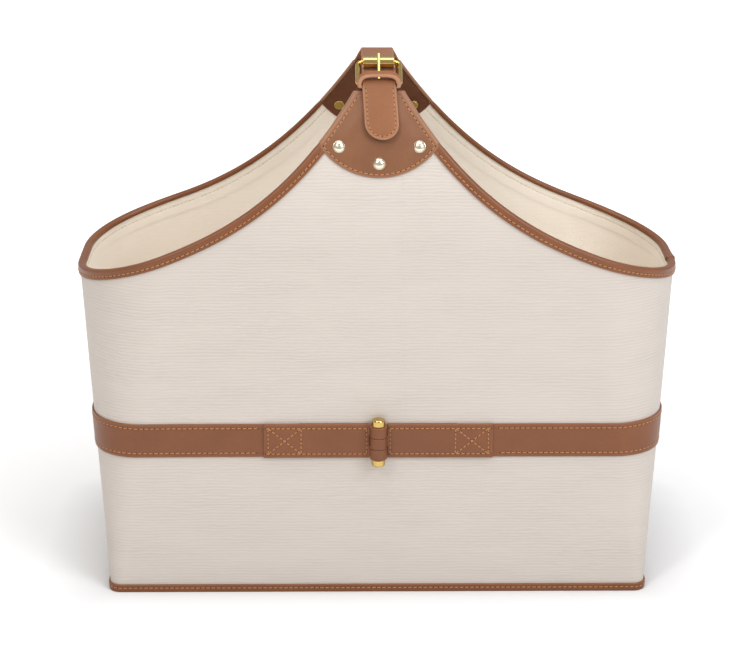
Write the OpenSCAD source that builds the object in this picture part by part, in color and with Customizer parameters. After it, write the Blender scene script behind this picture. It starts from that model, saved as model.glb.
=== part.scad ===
// Canvas storage bin: a tapered tub whose front and back sweep up to two leather peaks,
// joined over the mouth by a buckled strap, with a leather belt closed by a barrel pin.
// Origin: middle of the footprint on the floor. +X is the object's right, -Y its front, +Z up.

/* [Body] */
// Width of the canvas body at the floor
base_w = 413.6; // [400:0.2:420]
// Width of the canvas body at the level of the end rims
rim_w = 458.4; // [450:0.2:464]
// Depth of the canvas body at the floor
base_d = 184; // [180:0.5:188]
// Depth of the canvas body at the level of the end rims
rim_d = 176; // [174:0.5:180]
// Radius of the body's upright corners at the floor
base_r = 8; // [7:0.5:10]
// Radius of the body's corners at the rim
rim_r = 72; // [68:0.5:76]
// Height at which the body has its rim width, depth and corner radius
rim_z = 252; // [250:1:256]

/* [Rim curve] */
// Height of the rim at the middle of each end
end_z = 246; // [243:0.5:248]
// Height of the flat top of each peak
peak_z = 387.3; // [386:0.1:389]
// Width of the flat top of each peak
peak_w = 33.2; // [31:0.2:35]
// Height at which the front and back start to lean in
lean_z = 272; // [268:1:276]
// How fast the lean grows, in millimetres per millimetre squared
lean_k = 0.00237; // [0.0023:0.00001:0.0024]

/* [Layers] */
// Thickness of the outer canvas and of the lining
cloth_t = 0.7; // [0.5:0.1:0.9]
// Thickness of the stiffening board
board_t = 2; // [1.5:0.1:2.2]
// Thickness of the leather trims
leather_t = 1.4; // [1.2:0.1:1.5]
// Width of the leather band on the outside of the rim
binding_w = 6.2; // [5.6:0.2:8]
// Depth of the leather band on the inside of the rim
binding_in = 2.4; // [2:0.2:4]
// Height of the leather band round the foot
foot_h = 6.2; // [5:0.2:8]

/* [Patches] */
// Height of the lowest point of each patch
patch_low_z = 327.3; // [324:0.1:329]
// Radius of each patch's lower edge
patch_r = 54.5; // [54:0.1:56]
// Diameter of a rivet's domed head
rivet_d = 9.2; // [8:0.1:10]
// Distance of the outer rivets from the middle
rivet_x = 29.4; // [28:0.1:31]
// Height of the outer rivets
rivet_side_z = 349; // [348:0.1:350]
// Height of the middle rivet
rivet_mid_z = 337.3; // [336:0.1:339]

/* [Belt] */
// Height of the belt's middle line
belt_z = 124.9; // [110:0.1:140]
// Width of the belt
belt_w = 26.6; // [25:0.1:28]
// Length of each tab, from the pin's axis to its outer end
tab_l = 87; // [80:0.5:95]
// Diameter of the barrel that the tabs make round the pin
barrel_d = 13; // [12:0.1:14]
// Diameter of the pin
pin_d = 8; // [7:0.1:8.4]
// Diameter of the pin's knobs
knob_d = 10; // [9.6:0.1:11]
// Height of each knob
knob_h = 4.8; // [4:0.1:6]

/* [Buckle] */
// Width of the strap
strap_w = 25; // [24:0.1:25.4]
// Thickness of the strap
strap_t = 2.2; // [2:0.1:2.2]
// Diameter of the buckle's wire
wire_d = 3.4; // [3.2:0.1:3.4]
// Outer width of the buckle's frame
frame_w = 34.6; // [34.4:0.1:35.4]
// Distance from the base bar's axis to the roller's axis
frame_l = 23.5; // [23:0.1:24]
// Rise of the frame above level, in degrees
frame_tilt = 30.7; // [29.5:0.1:31.5]
// Diameter of the roller
roller_d = 8.8; // [8.6:0.1:9]
// Height of the base bar's axis
bar_z = 391.3; // [391:0.1:392]
// Length of the strap's hanging tail
tail_l = 44.3; // [40:0.1:48]

/* [Hidden] */

FRONT = -1;
BACK = 1;
wall_t = 2 * cloth_t + board_t;
inner_face = wall_t + leather_t;
wall_z = 1.3;
panel_top_z = 374;
fit = 0.05;
soft_gap = 0.3;
leather_color = "sienna";
brass_color = "gold";
canvas_color = "linen";
lining_color = "antiquewhite";
board_color = "darkgray";

// Lengths along the rim of a quarter of the body: flat side, round corner, half of the end
flat_l = rim_w / 2 - rim_r;
arc_l = rim_r * PI / 2;
quarter_l = flat_l + arc_l + rim_d / 2 - rim_r;

flat_steps = 13;
arc_steps = 9;
lean_steps = 11;
straight_z = 238;

function mix(a, b, t) = a + (b - a) * t;
function rise(z) = min(z / rim_z, 1);
function lean(z) = z > lean_z ? lean_k * pow(z - lean_z, 2) : 0;
function half_w(z) = mix(base_w, rim_w, rise(z)) / 2;
function half_d(z) = mix(base_d, rim_d, rise(z)) / 2 - lean(z);
function round_r(z, off) = max(mix(base_r, rim_r, rise(z)) - off, 0.6);

// Plan position of the right front quarter at distance s along the rim from the front's middle,
// at height z, moved in from the outside of the canvas by off
function quarter(s, z, off) =
    let(r = round_r(z, off), cx = half_w(z) - off - r, cy = half_d(z) - off - r)
    s < flat_l ? [s / flat_l * cx, -cy - r] :
    s < flat_l + arc_l ?
        let(turn = (s - flat_l) / arc_l * 90) [cx + r * sin(turn), -cy - r * cos(turn)] :
        [cx + r, -cy * (quarter_l - s) / (quarter_l - flat_l - arc_l)];

// How far the left end stands further open than the right one, at the back most of all; it grows
// evenly with height, so the wall's facets stay flat from the foot to the rim
open_from = 100;
front_open = 0.07;
back_open = 0.17;
function opening(s, z, off, side) =
    let(t = min(max((-s - open_from) / (flat_l + arc_l - open_from), 0), 1))
    (side == FRONT ? front_open : back_open)
        * rise(z) * t * t * (3 - 2 * t) * quarter(abs(s), rim_z, off).y;

// A point of the wall: s is negative on the left, side is FRONT or BACK
function wall(s, z, off, side) =
    let(p = quarter(abs(s), z, off))
    [s < 0 ? -p.x : p.x, -side * (p.y + opening(s, z, off, side)), z];

// The rim is one curve from each end up to each peak
rim_curve = [[peak_w / 2, peak_z], [84, 284], [152, 270.4], [rim_w / 2, end_z]];
function bezier(p, t) =
    pow(1 - t, 3) * p[0] + 3 * pow(1 - t, 2) * t * p[1] + 3 * (1 - t) * t * t * p[2] + t * t * t * p[3];
function rim_t(x, low = 0, high = 1, steps = 22) =
    let(t = (low + high) / 2)
    steps == 0 ? t : bezier(rim_curve, t).x < x ? rim_t(x, t, high, steps - 1) : rim_t(x, low, t, steps - 1);
function rim_height(s) =
    let(x = quarter(abs(s), rim_z, 0).x)
    x <= peak_w / 2 ? peak_z : bezier(rim_curve, rim_t(x)).y;
function rim_slope(s) = rim_height(s + 0.4) / 0.8 - rim_height(s - 0.4) / 0.8;

// A point at depth d square to the rim line
function below_rim(s, d, off, side) =
    let(m = rim_slope(s), n = sqrt(1 + m * m))
    wall(s + d * m / n, rim_height(s) - d / n, off, side);

// Places along the rim at which the wall's columns stand
half_stations = concat(
    [for (i = [0 : flat_steps]) flat_l * pow(i / flat_steps, 1.2)],
    [for (i = [1 : arc_steps]) flat_l + arc_l * i / arc_steps],
    [quarter_l]
);
left_stations = [for (i = [len(half_stations) - 1 : -1 : 1]) -half_stations[i]];
stations = concat(left_stations, half_stations);
function stations_from(s0) = concat([s0], [for (s = half_stations) if (s > s0 + 1) s]);

function reversed(list) = [for (i = [len(list) - 1 : -1 : 0]) list[i]];

// A solid sheet: columns of points on its two faces, the second face lying to the left of the
// first when looking up a column along the row of columns. Both faces are cut into triangles
// along the same diagonals, so that a layer fits on its neighbour. A diagonal falls to the
// next column in the first few columns, and rises to it in the others.
module sheet(face_a, face_b, loop = false, falling = 0) {
    m = len(face_a[0]);
    n = len(face_a);
    ring = 2 * m;
    points = [for (i = [0 : n - 1]) each concat(face_a[i], reversed(face_b[i]))];
    last = loop ? n - 1 : n - 2;
    sides = [
        for (i = [0 : last], k = [0 : ring - 1])
            let(
                a = i * ring, b = ((i + 1) % n) * ring, next = (k + 1) % ring,
                on_second = k >= m,
                falls = i < falling
            )
            each on_second == falls ?
                [[a + k, a + next, b + next], [a + k, b + next, b + k]] :
                [[a + k, a + next, b + k], [a + next, b + next, b + k]]
    ];
    end = (n - 1) * ring;
    caps = loop ? [] : [
        for (j = [0 : m - 2])
            let(p = j, q = j + 1, r = ring - 2 - j, s = ring - 1 - j)
            each [
                [p, r, q], [p, s, r],
                [end + p, end + q, end + r], [end + p, end + r, end + s]
            ]
    ];
    polyhedron(points, concat(sides, caps), convexity = 10);
}

// One layer of a half shell between two distances in from the canvas's outside
module wall_layer(side, off_a, off_b) {
    rows = concat([0], [for (j = [0 : lean_steps]) straight_z + j]);
    function top(s) = min(rim_height(s), panel_top_z);
    function row_z(s, row) =
        row == 0 ? wall_z : mix(straight_z, top(s), (row - straight_z) / lean_steps);
    function face(off) = [for (s = stations) [for (row = rows) wall(s, row_z(s, row), off, side)]];
    if (side == FRONT)
        sheet(face(off_b), face(off_a), falling = len(left_stations));
    else
        sheet(face(off_a), face(off_b), falling = len(left_stations));
}

// The two sides of the wall have their rivet holes in the same places
rivet_places = [[-rivet_x, rivet_side_z], [0, rivet_mid_z], [rivet_x, rivet_side_z]];
rivet_post_r = 1.5;

// Puts its children on the canvas, with +Z square to it and pointing out
module on_panel(side, x, z) {
    slope = atan(2 * lean_k * (z - lean_z));
    translate([x, side * half_d(z), z])
        rotate([-side * (90 - slope), 0, 0])
            children();
}

module rivet_holes(side) {
    for (place = rivet_places)
        on_panel(side, place.x, place.y)
            cylinder(r = rivet_post_r + fit, h = 30, center = true, $fn = 32);
}

module drilled_layer(side, off_a, off_b) {
    difference() {
        wall_layer(side, off_a, off_b);
        rivet_holes(side);
    }
}

module front_board() {
    color(board_color) drilled_layer(FRONT, cloth_t, cloth_t + board_t);
}

module back_board() {
    color(board_color) drilled_layer(BACK, cloth_t, cloth_t + board_t);
}

module front_canvas() {
    color(canvas_color) drilled_layer(FRONT, 0, cloth_t);
}

module back_canvas() {
    color(canvas_color) drilled_layer(BACK, 0, cloth_t);
}

module front_lining() {
    color(lining_color) drilled_layer(FRONT, cloth_t + board_t, wall_t);
}

module back_lining() {
    color(lining_color) drilled_layer(BACK, cloth_t + board_t, wall_t);
}

// A flat plate that fills the foot to within inset of the canvas's outside
module base_plate(inset, z, t, r) {
    w = base_w - 2 * inset - 2 * r;
    d = base_d - 2 * inset - 2 * r;
    translate([0, 0, z])
        linear_extrude(t)
            union() {
                square([w + 2 * r, d], center = true);
                square([w, d + 2 * r], center = true);
                for (x = [-w / 2, w / 2], y = [-d / 2, d / 2])
                    translate([x, y])
                        circle(r, $fn = 48);
            }
}

base_flange = 10;
base_board_t = 2.8;

module base_board() {
    color(board_color) base_plate(wall_t + soft_gap, wall_z, base_board_t, 4);
}

module base_cover() {
    color(canvas_color) base_plate(base_flange + 0.2, 0, wall_z - 0.1, 2);
}

module base_lining() {
    color(lining_color) base_plate(wall_t + soft_gap, wall_z + base_board_t + 0.1, cloth_t, 4);
}

// The leather strip that is folded under the foot, all the way round
module base_binding() {
    loop_stations = concat(
        [for (s = stations) [s, FRONT]],
        [for (s = reversed(stations)) if (abs(s) < quarter_l - 0.01) [s, BACK]]
    );
    flange_z = wall_z - 0.1;
    outer = [[base_flange, 0], [-leather_t, 0], [-leather_t, foot_h]];
    inner = [[base_flange, flange_z], [-0.02, flange_z], [-0.02, foot_h]];
    function face(profile) = [for (s = loop_stations) [for (p = profile) wall(s[0], p.y, p.x, s[1])]];
    color(leather_color) sheet(face(inner), face(outer), loop = true);
}

// The leather strip folded over the rim: its section is given as distance in and depth down
rim_gap = 0.3;
binding_outside = [
    [-leather_t, binding_w], [-leather_t, -0.3], [-0.6, -leather_t],
    [wall_t + 0.6, -leather_t], [inner_face, -0.3], [inner_face, binding_in]
];
binding_inside = [
    [-rim_gap, binding_w], [-rim_gap, 0], [0, -rim_gap],
    [wall_t, -rim_gap], [wall_t + rim_gap, 0], [wall_t + rim_gap, binding_in]
];
binding_start = 45;
lap = 11;

function binding_face(profile, route) =
    [for (r = route) [for (p = profile) below_rim(r[0], p.y, p.x, r[1])]];

module rim_strip(route) {
    color(leather_color) sheet(binding_face(binding_inside, route), binding_face(binding_outside, route));
}

module rim_binding_left() {
    half = stations_from(binding_start);
    rim_strip(concat(
        [for (s = half) [-s, BACK]],
        [for (s = reversed(half)) if (s < quarter_l - 0.01) [-s, FRONT]]
    ));
}

// On the right the strip is in two lengths, which meet just in front of the end's middle
module rim_binding_front_right() {
    half = stations_from(binding_start);
    rim_strip([for (s = reversed(half)) if (s < quarter_l - lap) [s, FRONT]]);
}

module rim_binding_back_right() {
    half = stations_from(binding_start);
    start = max([for (s = half) if (s < quarter_l - lap) s]);
    rim_strip(concat(
        [[start + 0.1, FRONT]],
        [for (s = reversed(half)) [s, BACK]]
    ));
}

patch_half_w = 43.5;
patch_rows = 8;
patch_columns = 22;

// One fan-shaped patch: its lower edge is an arc, its sides follow the rim
module patch(side, off_a, off_b) {
    centre_z = patch_low_z + patch_r;
    columns = [for (i = [-patch_columns / 2 : patch_columns / 2]) patch_half_w * i / (patch_columns / 2)];
    function low(x) = centre_z - sqrt(patch_r * patch_r - x * x);
    function high(x) = min(peak_z, rim_height(x) + leather_t * sqrt(1 + pow(rim_slope(x), 2)));
    function face(off) = [
        for (x = columns)
            [for (j = [0 : patch_rows]) wall(x, mix(low(x), high(x), j / patch_rows), off, side)]
    ];
    difference() {
        if (side == FRONT)
            sheet(face(off_b), face(off_a));
        else
            sheet(face(off_a), face(off_b));
        rivet_holes(side);
    }
}

patch_clear = 0.35;

module front_patch_outer() {
    color(leather_color) patch(FRONT, -leather_t, -0.02);
}

module front_patch_inner() {
    color(leather_color) patch(FRONT, wall_t + patch_clear, inner_face + patch_clear);
}

module back_patch_outer() {
    color(leather_color) patch(BACK, -leather_t, -0.02);
}

module back_patch_inner() {
    color(leather_color) patch(BACK, wall_t + patch_clear, inner_face + patch_clear);
}

head_gap = 0.08;
cap_t = 0.9;
cap_d = 8.2;

// Distance square to the panel of a face that lies off in from the canvas's outside
function square_to(off, z) = -off * cos(atan(2 * lean_k * (z - lean_z)));

// A domed head on the outside, with its post through every layer
module rivet(side, place) {
    head_z = square_to(-leather_t, place.y) + head_gap;
    end_z = square_to(inner_face + patch_clear, place.y) - head_gap;
    dome_h = 2.1;
    dome_r = (rivet_d * rivet_d / 4 + dome_h * dome_h) / (2 * dome_h);
    on_panel(side, place.x, place.y) {
        rotate_extrude($fn = 48)
            intersection() {
                translate([0, head_z + dome_h - dome_r])
                    circle(dome_r, $fn = 96);
                translate([0, head_z])
                    square([rivet_d, dome_h * 2]);
            }
        translate([0, 0, end_z])
            cylinder(r = rivet_post_r, h = head_z - end_z, $fn = 32);
    }
}

// The flat cap that is pressed over the end of a rivet's post
module rivet_cap(side, place) {
    top_z = square_to(inner_face + patch_clear, place.y) - head_gap;
    on_panel(side, place.x, place.y)
        translate([0, 0, top_z - cap_t])
            rotate_extrude($fn = 48)
                polygon([[0, 0], [cap_d / 2 - 0.4, 0], [cap_d / 2, 0.4], [cap_d / 2, cap_t], [0, cap_t]]);
}

module rivets() {
    color(brass_color)
        for (side = [FRONT, BACK], place = rivet_places)
            rivet(side, place);
}

module rivet_caps() {
    color(brass_color)
        for (side = [FRONT, BACK], place = rivet_places)
            rivet_cap(side, place);
}

belt_overlap = 26;
belt_end = tab_l - belt_overlap;
belt_start = belt_end * flat_l / (half_w(belt_z) - round_r(belt_z, 0));

// The belt goes round the back from one tab to the other. The gap clears the canvas's twisted facets
belt_gap = 0.32;
module belt() {
    right = [for (s = stations_from(belt_start)) [s, FRONT]];
    back = [for (s = reversed(stations)) if (abs(s) < quarter_l - 0.01) [s, BACK]];
    left = [for (s = reversed(stations_from(belt_start))) [-s, FRONT]];
    route = concat(right, back, left);
    levels = [belt_z - belt_w / 2, belt_z + belt_w / 2];
    function face(off) = [for (r = route) [for (z = levels) wall(r[0], z, off, r[1])]];
    color(leather_color) sheet(face(-belt_gap), face(-leather_t));
}

// The belt's front lies in a plane that leans back a little; +Z of this frame runs up in it
belt_slope = atan((base_d - rim_d) / 2 / rim_z);
module on_belt() {
    translate([0, -half_d(belt_z), belt_z])
        rotate([-belt_slope, 0, 0])
            children();
}

barrel_y = -barrel_d / 2 - 0.4;
tab_w = belt_w + 0.6;
knuckle_gap = 0.2;
knuckle_l = (tab_w - 2 * knuckle_gap) / 3;
tab_top_y = -leather_t - 0.1;

// A block between two heights, from the outer edge x0 to x1, between two depths
module tab_layer(x0, x1, y0, y1, z0, z1) {
    translate([x0, y0, z0])
        cube([x1 - x0, y1 - y0, z1 - z0]);
}

// The leather folded round the pin between two heights, with the layers that run out to the left
module knuckle(z0, z1, out) {
    difference() {
        union() {
            translate([0, barrel_y, z0])
                cylinder(d = barrel_d, h = z1 - z0, $fn = 64);
            tab_layer(-out, -2, tab_top_y - leather_t, tab_top_y, z0, z1);
            tab_layer(-out, -2, tab_top_y, -0.1, z0, z1);
        }
        translate([0, barrel_y, z0 - 1])
            cylinder(d = pin_d + 2 * fit, h = z1 - z0 + 2, $fn = 64);
    }
}

tab_neck = barrel_d / 2 + 0.5;

module tab_sheet() {
    tab_layer(-tab_l, -tab_neck, tab_top_y - leather_t, tab_top_y, -tab_w / 2, tab_w / 2);
    tab_layer(-belt_end + 1.4, -tab_neck, tab_top_y, -0.1, -tab_w / 2, tab_w / 2);
}

module belt_tab_left() {
    color(leather_color) on_belt() {
        tab_sheet();
        knuckle(-tab_w / 2, -tab_w / 2 + knuckle_l, tab_neck);
        knuckle(tab_w / 2 - knuckle_l, tab_w / 2, tab_neck);
    }
}

module belt_tab_right() {
    color(leather_color) on_belt() mirror([1, 0, 0]) {
        tab_sheet();
        knuckle(-knuckle_l / 2, knuckle_l / 2, tab_neck);
    }
}

// Half section of a knob, resting on z = 0
module knob_section() {
    edge = 1.3;
    r = knob_d / 2;
    union() {
        square([r - edge, knob_h]);
        translate([0, 0.6])
            square([r, knob_h - 0.6 - edge]);
        square([r - 0.6, knob_h - edge]);
        translate([r - edge, knob_h - edge])
            circle(edge, $fn = 48);
    }
}

knob_gap = 0.3;
thread_r = 2.4;
thread_l = 3.4;

// The pin with its lower knob and the stud that the upper knob screws on to
module belt_pin() {
    length = tab_w + 2 * knob_gap;
    color(brass_color) on_belt() translate([0, barrel_y, -length / 2]) {
        cylinder(d = pin_d, h = length, $fn = 64);
        translate([0, 0, length])
            cylinder(r = thread_r, h = thread_l, $fn = 48);
        mirror([0, 0, 1])
            rotate_extrude($fn = 64)
                knob_section();
    }
}

module belt_pin_knob() {
    length = tab_w + 2 * knob_gap;
    color(brass_color) on_belt() translate([0, barrel_y, length / 2])
        difference() {
            rotate_extrude($fn = 64)
                knob_section();
            translate([0, 0, -1])
                cylinder(r = thread_r + fit, h = thread_l + 1.1, $fn = 48);
        }
}

// The base bar's axis lies on the middle line of the front peak, above its layers
panel_mid = wall_t / 2;
bar_y = -half_d(bar_z) + panel_mid;
wire_r = wire_d / 2;
chape_r = wire_r + 1.5;
strap_r = chape_r + soft_gap + strap_t / 2;

// Puts its children on the base bar's axis, with +Y turned up by an angle
module on_bar(turn) {
    translate([0, bar_y, bar_z])
        rotate([turn, 0, 0])
            children();
}

// Turns a section drawn in (y, z) into a bar of a given length along X, centred on X = 0
module across(length) {
    rotate([90, 0, 90])
        linear_extrude(length, center = true)
            children();
}

// A leather loop round the base bar, whose two plies run down between the front patches
module buckle_chape() {
    foot_z = panel_top_z + 1.6;
    foot_y = -half_d(foot_z) + panel_mid;
    turn = atan2(bar_z - foot_z, bar_y - foot_y) - 90;
    length = norm([bar_z - foot_z, bar_y - foot_y]);
    ply = wall_t / 2 - 0.25;
    slot_w = 4.4;
    color(leather_color) on_bar(turn)
        difference() {
            across(strap_w) {
                difference() {
                    union() {
                        circle(chape_r, $fn = 64);
                        translate([-ply, -length])
                            square([2 * ply, length]);
                    }
                    circle(wire_r + fit, $fn = 64);
                }
            }
            translate([-slot_w / 2, -chape_r - 1, -chape_r - 0.4])
                cube([slot_w, 2 * chape_r + 2, 2 * chape_r + 2]);
        }
}

// A quarter bend of wire in the frame's plane, about a centre, starting at an angle
module wire_bend(x, y, r, start) {
    translate([x, y, 0])
        rotate([0, 0, start])
            rotate_extrude(angle = 90, $fn = 64)
                translate([r, 0])
                    circle(wire_r, $fn = 48);
}

frame_corner = 3.8;
heel_corner = 2.4;
side_x = frame_w / 2 - wire_r;

module wire_along_x(x0, x1, y) {
    translate([x0, y, 0])
        rotate([0, 90, 0])
            cylinder(r = wire_r, h = x1 - x0, $fn = 48);
}

// The frame lies in a plane through the base bar; the roller turns on its far bar
module buckle_frame() {
    color(brass_color) on_bar(frame_tilt) {
        wire_along_x(heel_corner - side_x, side_x - heel_corner, 0);
        wire_along_x(frame_corner - side_x, side_x - frame_corner, frame_l);
        for (x = [-side_x, side_x])
            translate([x, heel_corner, 0])
                rotate([-90, 0, 0])
                    cylinder(r = wire_r, h = frame_l - frame_corner - heel_corner, $fn = 48);
        wire_bend(side_x - heel_corner, heel_corner, heel_corner, -90);
        wire_bend(heel_corner - side_x, heel_corner, heel_corner, 180);
        wire_bend(side_x - frame_corner, frame_l - frame_corner, frame_corner, 0);
        wire_bend(frame_corner - side_x, frame_l - frame_corner, frame_corner, 90);
    }
}

module buckle_roller() {
    length = 2 * (side_x - frame_corner) - 0.3;
    edge = 0.5;
    bore = wire_r + fit;
    r = roller_d / 2;
    color(brass_color) on_bar(frame_tilt)
        translate([-length / 2, frame_l, 0])
            rotate([0, 90, 0])
                rotate_extrude($fn = 64)
                    polygon([
                        [bore, 0], [r - edge, 0], [r, edge],
                        [r, length - edge], [r - edge, length], [bore, length]
                    ]);
}

prong_w = 2.6;
prong_t = 2.1;
prong_lift = asin((roller_d / 2 + prong_t / 2 + 0.06) / frame_l);

// The prong turns on the base bar and its tip rests on the roller
module buckle_prong() {
    reach = frame_l + 2.8;
    eye_r = wire_r + 1.3;
    color(brass_color) on_bar(frame_tilt + prong_lift)
        across(prong_w)
            difference() {
                union() {
                    circle(eye_r, $fn = 64);
                    translate([0, -prong_t / 2])
                        square([reach, prong_t]);
                    translate([reach, 0])
                        circle(prong_t / 2, $fn = 48);
                }
                circle(wire_r + fit, $fn = 64);
            }
}

roller_y = bar_y + frame_l * cos(frame_tilt);
roller_z = bar_z + frame_l * sin(frame_tilt);
under_roller_z = roller_z - roller_d / 2 - soft_gap - strap_t / 2;
fold_z = 397.6;
fold_r = 5;
tail_turn = 150;

// The strap's middle line, as (y, z) points from between the back patches to the front bend
back_rise = [
    for (j = [0 : 5])
        let(z = mix(panel_top_z + 1, fold_z - fold_r / 2, j / 5)) [half_d(z) - panel_mid, z]
];
back_top_y = back_rise[5].x;
back_lean = atan(2 * lean_k * (back_rise[5].y - lean_z));
fold_y = back_top_y - fold_r * cos(back_lean);
back_bend = [
    for (turn = [back_lean + 10 : 10 : 90])
        [fold_y + fold_r * cos(turn), fold_z - fold_r + fold_r * sin(turn)]
];
bend_start = 90 + atan((under_roller_z - bar_z - strap_r) / (roller_y - bar_y));
front_bend = [
    for (turn = [bend_start : 7.5 : tail_turn - 19])
        [bar_y + strap_r * cos(turn), bar_z + strap_r * sin(turn)]
];
strap_line = concat(back_rise, back_bend, [[roller_y, under_roller_z]], front_bend);

// A point beside a path at one of its points, half of t away square to it
function beside(path, i, t) =
    let(a = path[max(i - 1, 0)], b = path[min(i + 1, len(path) - 1)], v = (b - a) / norm(b - a))
    path[i] + [-v.y, v.x] * t / 2;

// The strap's slot leaves room for the prong over its whole swing
slot_w = 3.4;
slot_y0 = bar_y - 1;
slot_y1 = bar_y + 9.4;

module top_strap() {
    outline = concat(
        [for (i = [0 : len(strap_line) - 1]) beside(strap_line, i, strap_t)],
        [for (i = [len(strap_line) - 1 : -1 : 0]) beside(strap_line, i, -strap_t)]
    );
    color(leather_color)
        difference() {
            across(strap_w)
                polygon(outline);
            translate([-slot_w / 2, slot_y0, bar_z])
                cube([slot_w, slot_y1 - slot_y0, 12]);
        }
}

tail_y = bar_y + strap_r * cos(tail_turn);
tail_z = bar_z + strap_r * sin(tail_turn);

// The strap's free end, which lifts about a line across the strap; +Y of its frame runs down it
module strap_tail() {
    color(leather_color)
        translate([0, tail_y, tail_z])
            rotate([tail_turn + 90, 0, 0]) {
                across(strap_w)
                    circle(strap_t / 2, $fn = 48);
                translate([0, 0, -strap_t / 2])
                    linear_extrude(strap_t)
                        union() {
                            translate([-strap_w / 2, 0])
                                square([strap_w, tail_l - strap_w / 2]);
                            translate([0, tail_l - strap_w / 2])
                                circle(strap_w / 2, $fn = 64);
                        }
            }
}

keeper_half_w = 14.9;
keeper_t = 1.6;
keeper_y = [-58.8, -54.9];
keeper_top_z = 398.3;
keeper_rise = 0.8;
keeper_power = 4;
keeper_steps = 24;

// The keeper is a flat-topped arch of leather over the strap, standing on the front peak
module strap_keeper() {
    foot_z = peak_z + 0.15;
    function arch(turn, grow) =
        let(c = cos(turn), s = sin(turn), p = 2 / keeper_power)
        [
            sign(c) * pow(abs(c), p) * (keeper_half_w + grow),
            foot_z + pow(max(s, 0), p) * (keeper_top_z - foot_z + grow)
        ];
    turns = [for (i = [0 : keeper_steps]) 180 * i / keeper_steps];
    function face(grow) = [
        for (turn = turns)
            let(p = arch(turn, grow), tip = keeper_rise * max(sin(turn), 0))
            [[p.x, keeper_y[0], p.y], [p.x, keeper_y[1], p.y + tip]]
    ];
    color(leather_color) sheet(face(keeper_t), face(0));
}

front_board();
back_board();
front_canvas();
back_canvas();
front_lining();
back_lining();
base_board();
base_cover();
base_lining();
base_binding();
rim_binding_left();
rim_binding_front_right();
rim_binding_back_right();
front_patch_outer();
front_patch_inner();
back_patch_outer();
back_patch_inner();
rivets();
rivet_caps();
belt();
belt_tab_left();
belt_tab_right();
belt_pin();
belt_pin_knob();
top_strap();
strap_tail();
strap_keeper();
buckle_chape();
buckle_frame();
buckle_roller();
buckle_prong();
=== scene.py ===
"""Looks of the canvas storage bin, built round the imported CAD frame.

Shapes are worked out in millimetres from the same wall formula as the CAD source, and are turned
into metres when a mesh is made.
"""

import math

import bmesh
import bpy
import numpy as np
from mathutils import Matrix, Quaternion, Vector


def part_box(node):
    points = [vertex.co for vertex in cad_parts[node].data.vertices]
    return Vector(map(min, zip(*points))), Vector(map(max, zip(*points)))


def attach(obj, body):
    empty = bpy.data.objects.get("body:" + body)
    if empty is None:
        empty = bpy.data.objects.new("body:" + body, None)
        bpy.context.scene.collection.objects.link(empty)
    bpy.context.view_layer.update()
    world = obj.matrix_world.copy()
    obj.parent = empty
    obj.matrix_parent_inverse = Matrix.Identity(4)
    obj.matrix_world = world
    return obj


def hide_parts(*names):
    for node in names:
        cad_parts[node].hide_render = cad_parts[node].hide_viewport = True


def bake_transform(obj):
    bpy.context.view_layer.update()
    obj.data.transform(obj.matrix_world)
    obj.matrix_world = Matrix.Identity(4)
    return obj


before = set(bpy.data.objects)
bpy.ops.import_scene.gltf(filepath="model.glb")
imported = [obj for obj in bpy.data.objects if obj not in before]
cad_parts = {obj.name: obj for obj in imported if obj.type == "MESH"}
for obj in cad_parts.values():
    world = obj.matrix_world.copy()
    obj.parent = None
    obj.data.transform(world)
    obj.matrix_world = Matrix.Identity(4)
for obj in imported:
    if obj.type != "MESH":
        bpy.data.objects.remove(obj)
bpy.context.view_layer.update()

MM = 0.001
FRONT, BACK = -1, 1
HALVES = ((FRONT, "front"), (BACK, "back"))

# ---------------------------------------------------------------- the wall's formula, as in CAD
BASE_W, RIM_W = 413.6, 458.4
BASE_D, RIM_D = 184.0, 176.0
BASE_R, RIM_R = 8.0, 72.0
RIM_Z = 252.0
END_Z, PEAK_Z, PEAK_W = 246.0, 387.3, 33.2
LEAN_Z, LEAN_K = 272.0, 0.00237
CLOTH_T, BOARD_T, LEATHER_T = 0.7, 2.0, 1.4
WALL_T = 2 * CLOTH_T + BOARD_T
FLAT_L = RIM_W / 2 - RIM_R
ARC_L = RIM_R * math.pi / 2
QUARTER_L = FLAT_L + ARC_L + RIM_D / 2 - RIM_R
WALL_Z = 1.3
OPEN_FROM, FRONT_OPEN, BACK_OPEN = 100.0, 0.07, 0.17
PANEL_TOP_Z = 374.0
RIM_CURVE = np.array([[PEAK_W / 2, PEAK_Z], [84, 284], [152, 270.4], [RIM_W / 2, END_Z]])


def mix(a, b, t):
    return a + (b - a) * t


def rise(z):
    return np.minimum(z / RIM_Z, 1)


def lean(z):
    return LEAN_K * np.maximum(z - LEAN_Z, 0) ** 2


def half_w(z):
    return mix(BASE_W, RIM_W, rise(z)) / 2


def half_d(z):
    return mix(BASE_D, RIM_D, rise(z)) / 2 - lean(z)


def quarter(a, z, off):
    """Plan position in one quarter at distance a along the rim."""
    r = np.maximum(mix(BASE_R, RIM_R, rise(z)) - off, 0.6)
    cx, cy = half_w(z) - off - r, half_d(z) - off - r
    turn = np.clip((a - FLAT_L) / ARC_L, 0, 1) * math.pi / 2
    x = np.where(a < FLAT_L, a / FLAT_L * cx, cx + r * np.sin(turn))
    y_round = cy + r * np.cos(turn)
    y_end = cy * (QUARTER_L - a) / (QUARTER_L - FLAT_L - ARC_L)
    return x, np.where(a < FLAT_L + ARC_L, y_round, y_end)


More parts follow.
